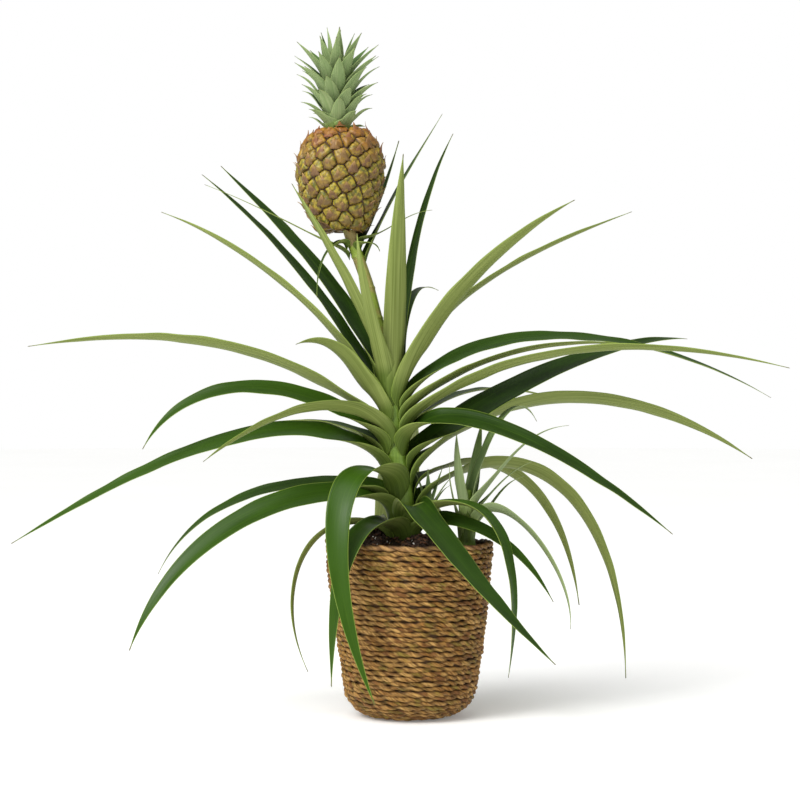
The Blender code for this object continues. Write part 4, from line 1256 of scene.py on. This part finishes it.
for share, colour in (
    (green, "#767022"),
    (tip, "#A8844C"),
    (red, "#8E4420"),
):
    tone = add(tree, "Mix", {0: share.outputs[0], 6: tone.outputs[2], 7: linear(colour)}, data_type="RGBA")
surface(tree, shader, tone, fibres.outputs["Fac"], 0.4, 0.0003)

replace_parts(fruit_rind("fruit_rind_eyes", np.random.default_rng(23)), "fruit")
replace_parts(fruit_bracts("fruit_papery_bracts", np.random.default_rng(24)), "fruit")

# Crown: the tuft of short, stiff leaves on the fruit, powdery grey-green. The lowest spread
# flat over the fruit's shoulders and the inner ones stand up. Their edge teeth aren't made.
CROWN_FOOT_Z = FRUIT_FOOT_Z + FRUIT_HEIGHT + 0.0006
CROWN_HEIGHT = 0.077
CROWN_RADIUS = 0.0100
CROWN_LEAVES = 52
CROWN_LEAN = -0.052
CROWN_X = FRUIT_X - 0.0020

# Crown leaf, living: grey-green under a powdery wax, dull, paler on the under side.
crown_green = leaf_finish(
    "pineapple_crown_leaf_waxy",
    upper=("#335418", "#4A6E28", "#74924C"),
    under=("#708C4E", "#9CAC76"),
    foot=("#66842E", "#86A046"),
    edge_tone="#98A860",
    roughness=0.42,
    bloom=0.09,
)


def crown_leaf(index):
    """Place and bend of one crown leaf; the lower it grows the flatter and shorter it is."""
    share = index / (CROWN_LEAVES - 1)
    inner = float(smooth_step(0.80, 1.0, share))
    return Leaf(
        math.degrees(GOLDEN_ANGLE) * index + 30,
        CROWN_FOOT_Z + 0.001 + 0.038 * share,
        34 + 46 * share,
        (0.0245 + 0.0100 * math.sin(0.75 * math.pi * share)) * (1 - 0.78 * inner),
        CROWN_FOOT_Z + 0.006 + 0.0745 * share**0.85,
        50 * share + 30 * inner,
        0.0102 + 0.0042 * math.sin(math.pi * (0.1 + 0.7 * share)),
        0.009,
    )


crown_rng = np.random.default_rng(77)
crown_sets = []
for index in range(CROWN_LEAVES):
    leaf = crown_leaf(index)
    share = index / (CROWN_LEAVES - 1)
    core = CROWN_RADIUS * (1 - 0.72 * share)
    jog = crown_rng.uniform(-1, 1, 4)
    leaf = leaf._replace(
        turn=leaf.turn + 5 * jog[0],
        reach=leaf.reach * (1 + 0.09 * jog[1]),
        tip=min(leaf.tip + 0.0028 * jog[2], 0.5490),
        rise=leaf.rise + 4 * jog[3],
    )
    axis = np.array((CROWN_X + CROWN_LEAN * (leaf.root - CROWN_FOOT_Z), 0.0, leaf.root))
    crown_sets.append(
        leaf_surface(leaf, axis, core, crown_rng, sheath=0.005, stations=26, clasp=0.85, gap=0.9)
    )


def join_leaves(name, sets, finish):
    """Several leaves as one piece: their points, faces and values end to end."""
    start, all_faces = 0, []
    for points, faces, _ in sets:
        all_faces.extend(face_set + start for face_set in faces)
        start += len(points)
    quads = np.concatenate([faces for faces in all_faces if faces.shape[1] == 4])
    triangles = np.concatenate([faces for faces in all_faces if faces.shape[1] == 3])
    values = {key: np.concatenate([found[2][key] for found in sets]) for key in sets[0][2]}
    points = np.concatenate([found[0] for found in sets])
    return make_piece(name, points, [quads, triangles], finish, values)


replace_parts(join_leaves("crown_leaves", crown_sets, crown_green), "crown")
core_z = np.linspace(CROWN_FOOT_Z - 0.0035, CROWN_FOOT_Z + CROWN_HEIGHT * 0.55, 30)
core_share = np.linspace(0.0, 1.0, 30)
core = round_column(
    "crown_core",
    CROWN_X + CROWN_LEAN * (core_z - CROWN_FOOT_Z),
    np.zeros(30),
    core_z,
    CROWN_RADIUS * (0.92 - 0.75 * core_share),
    stem_ribs,
    stem_skin,
)
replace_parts(core, "crown")

# Side shoot: a young plant at the foot of the stem, with its own short stem and thin pale
# leaves that still carry their bloom.
PUP_FOOT_Z = 0.128
PUP_TOP_Z = 0.180
PUP_FOOT_RADIUS = 0.0075
PUP_TOP_RADIUS = 0.0040
PUP_LEAVES = (
    (340, 0.156, 60, 0.086, 0.072, -93, 0.013, 0.007, -35, -35, 0.33, 0.44),
    (20, 0.152, 40, 0.050, 0.190, 10, 0.006, 0.004),
    (190, 0.152, 84, 0.014, 0.200, 95, 0.007, 0.004),
    (12, 0.162, 46, 0.054, 0.202, 20, 0.005, 0.004),
    (336, 0.168, 50, 0.086, 0.232, 4, 0.009, 0.005),
    (215, 0.168, 84, 0.010, 0.226, 95, 0.014, 0.006),
    (60, 0.166, 80, 0.026, 0.235, 76, 0.013, 0.006),
    (22, 0.172, 86, 0.062, 0.235, -61, 0.015, 0.007, 0, 0, 0.42, 0.52),
)

# Young leaf, living: pale yellow-green with a grey bloom, duller than the mature leaves.
young_green = leaf_finish(
    "pineapple_young_leaf_waxy",
    upper=("#446428", "#647E38", "#8C9E5E"),
    under=("#6C8048", "#8C9C68"),
    foot=("#728C2E", "#94A84C"),
    edge_tone="#9FAE6C",
    roughness=0.42,
    bloom=0.16,
)

shoot_z = np.linspace(PUP_FOOT_Z, PUP_TOP_Z, 60)
shoot = round_column(
    "side_shoot_column",
    np.full(60, PUP_X),
    np.full(60, PUP_Y),
    shoot_z,
    np.linspace(PUP_FOOT_RADIUS, PUP_TOP_RADIUS, 60),
    stem_ribs,
    stem_skin,
)
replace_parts(shoot, "pup_stem")
for number, row in enumerate(PUP_LEAVES, 1):
    leaf = Leaf(*row)
    node = f"pup_leaf_{number:02d}"
    axis = np.array((PUP_X, PUP_Y, leaf.root))
    share = (leaf.root - PUP_FOOT_Z) / (PUP_TOP_Z - PUP_FOOT_Z)
    skin = PUP_FOOT_RADIUS + (PUP_TOP_RADIUS - PUP_FOOT_RADIUS) * share + 0.0014
    leaf_rng = np.random.default_rng(500 + number)
    points, faces, values = leaf_surface(
        leaf, axis, skin, leaf_rng, sheath=0.014, stations=56, clasp=0.95
    )
    blade = make_piece(f"{node}_blade", points, faces, young_green, values)
    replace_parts(blade, node)

# Sucker: a second, tiny side shoot that has just left the stem between the lowest leaves.
# Its five short leaves are joined as one piece.
SUCKER_X = 0.0150
SUCKER_Y = 0.0010
SUCKER_LEAVES = (
    (95, 0.168, 80, 0.006, 0.196, 88, 0.0055, 0.004, 0, 0, 0.34, 0.34),
    (150, 0.166, 70, 0.012, 0.193, 60, 0.0048, 0.004, 0, 0, 0.34, 0.34),
    (10, 0.166, 60, 0.021, 0.192, 40, 0.0050, 0.004, 0, 0, 0.34, 0.34),
    (335, 0.165, 50, 0.019, 0.184, 20, 0.0045, 0.004, 0, 0, 0.34, 0.34),
    (40, 0.167, 70, 0.015, 0.198, 64, 0.0048, 0.004, 0, 0, 0.34, 0.34),
)
sucker_rng = np.random.default_rng(611)
sucker_sets = []
for row in SUCKER_LEAVES:
    axis = np.array((SUCKER_X, SUCKER_Y, row[1]))
    sucker_sets.append(
        leaf_surface(Leaf(*row), axis, 0.0022, sucker_rng, sheath=0.009, stations=30, gap=0.7)
    )
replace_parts(join_leaves("sucker_leaves", sucker_sets, young_green), "stem")

# Floor and light: a wide pale floor under a white surround, a large soft light high on the
# left in front, a weaker one on the right and one from above.
floor_mesh = bpy.data.meshes.new("studio_floor")
floor_turn = 2 * math.pi * np.arange(64) / 64
floor_edge = np.stack([9 * np.cos(floor_turn), 9 * np.sin(floor_turn), np.zeros(64)], 1)
floor_mesh.from_pydata(floor_edge.tolist(), [], [list(range(64))])
floor = bpy.data.objects.new("studio_floor", floor_mesh)
bpy.context.scene.collection.objects.link(floor)
floor_paint, tree, shader = new_finish("studio_floor_matt_white", Roughness=0.9)
shader.inputs["Specular IOR Level"].default_value = 0.1
shader.inputs["Emission Color"].default_value = linear("#FFFFFF")
shader.inputs["Emission Strength"].default_value = 0.16
place = add(tree, "TexCoord")
cloud = add(tree, "TexNoise", {"Vector": place.outputs["Object"], "Scale": 2.0})
tone = add(
    tree,
    "Mix",
    {0: cloud.outputs["Fac"], 6: linear("#F6F6F4"), 7: linear("#FBFBFA")},
    data_type="RGBA",
)
surface(tree, shader, tone)
floor_mesh.materials.append(floor_paint)

world = bpy.data.worlds.new("studio_surround")
world.use_nodes = True
sky = world.node_tree
sky.nodes["Background"].inputs["Color"].default_value = linear("#FFFFFF")
sky.nodes["Background"].inputs["Strength"].default_value = 0.40
backdrop = add(sky, "Background", {"Color": linear("#FFFFFF"), "Strength": 1.0})
ray = add(sky, "LightPath")
shown = add(sky, "MixShader", {0: ray.outputs["Is Camera Ray"], 2: backdrop.outputs[0]})
sky.links.new(sky.nodes["Background"].outputs[0], shown.inputs[1])
sky.links.new(shown.outputs[0], sky.nodes["World Output"].inputs["Surface"])
bpy.context.scene.world = world
bpy.context.scene.view_settings.view_transform = "Standard"

overhead = bpy.data.lights.new("overhead_diffuser", "SUN")
overhead.energy = 1.9
overhead.angle = math.radians(50.0)
holder = bpy.data.objects.new("overhead_diffuser", overhead)
holder.rotation_euler = (math.radians(28.0), math.radians(-22.0), 0.0)
bpy.context.scene.collection.objects.link(holder)
for name, place, size, power in (
    ("key_softbox", (-1.3, -1.3, 1.5), 1.0, 27.0),
    ("fill_softbox", (1.6, -1.3, 0.9), 1.0, 4.0),
):
    lamp = bpy.data.lights.new(name, "AREA")
    lamp.shape = "DISK"
    lamp.size = size
    lamp.energy = power
    holder = bpy.data.objects.new(name, lamp)
    holder.location = place
    aim = np.array((0.0, 0.0, 0.25)) - np.array(place)
    level = math.hypot(aim[0], aim[1])
    holder.rotation_euler = (
        math.pi / 2 + math.atan2(aim[2], level),
        0.0,
        math.atan2(aim[1], aim[0]) - math.pi / 2,
    )
    bpy.context.scene.collection.objects.link(holder)
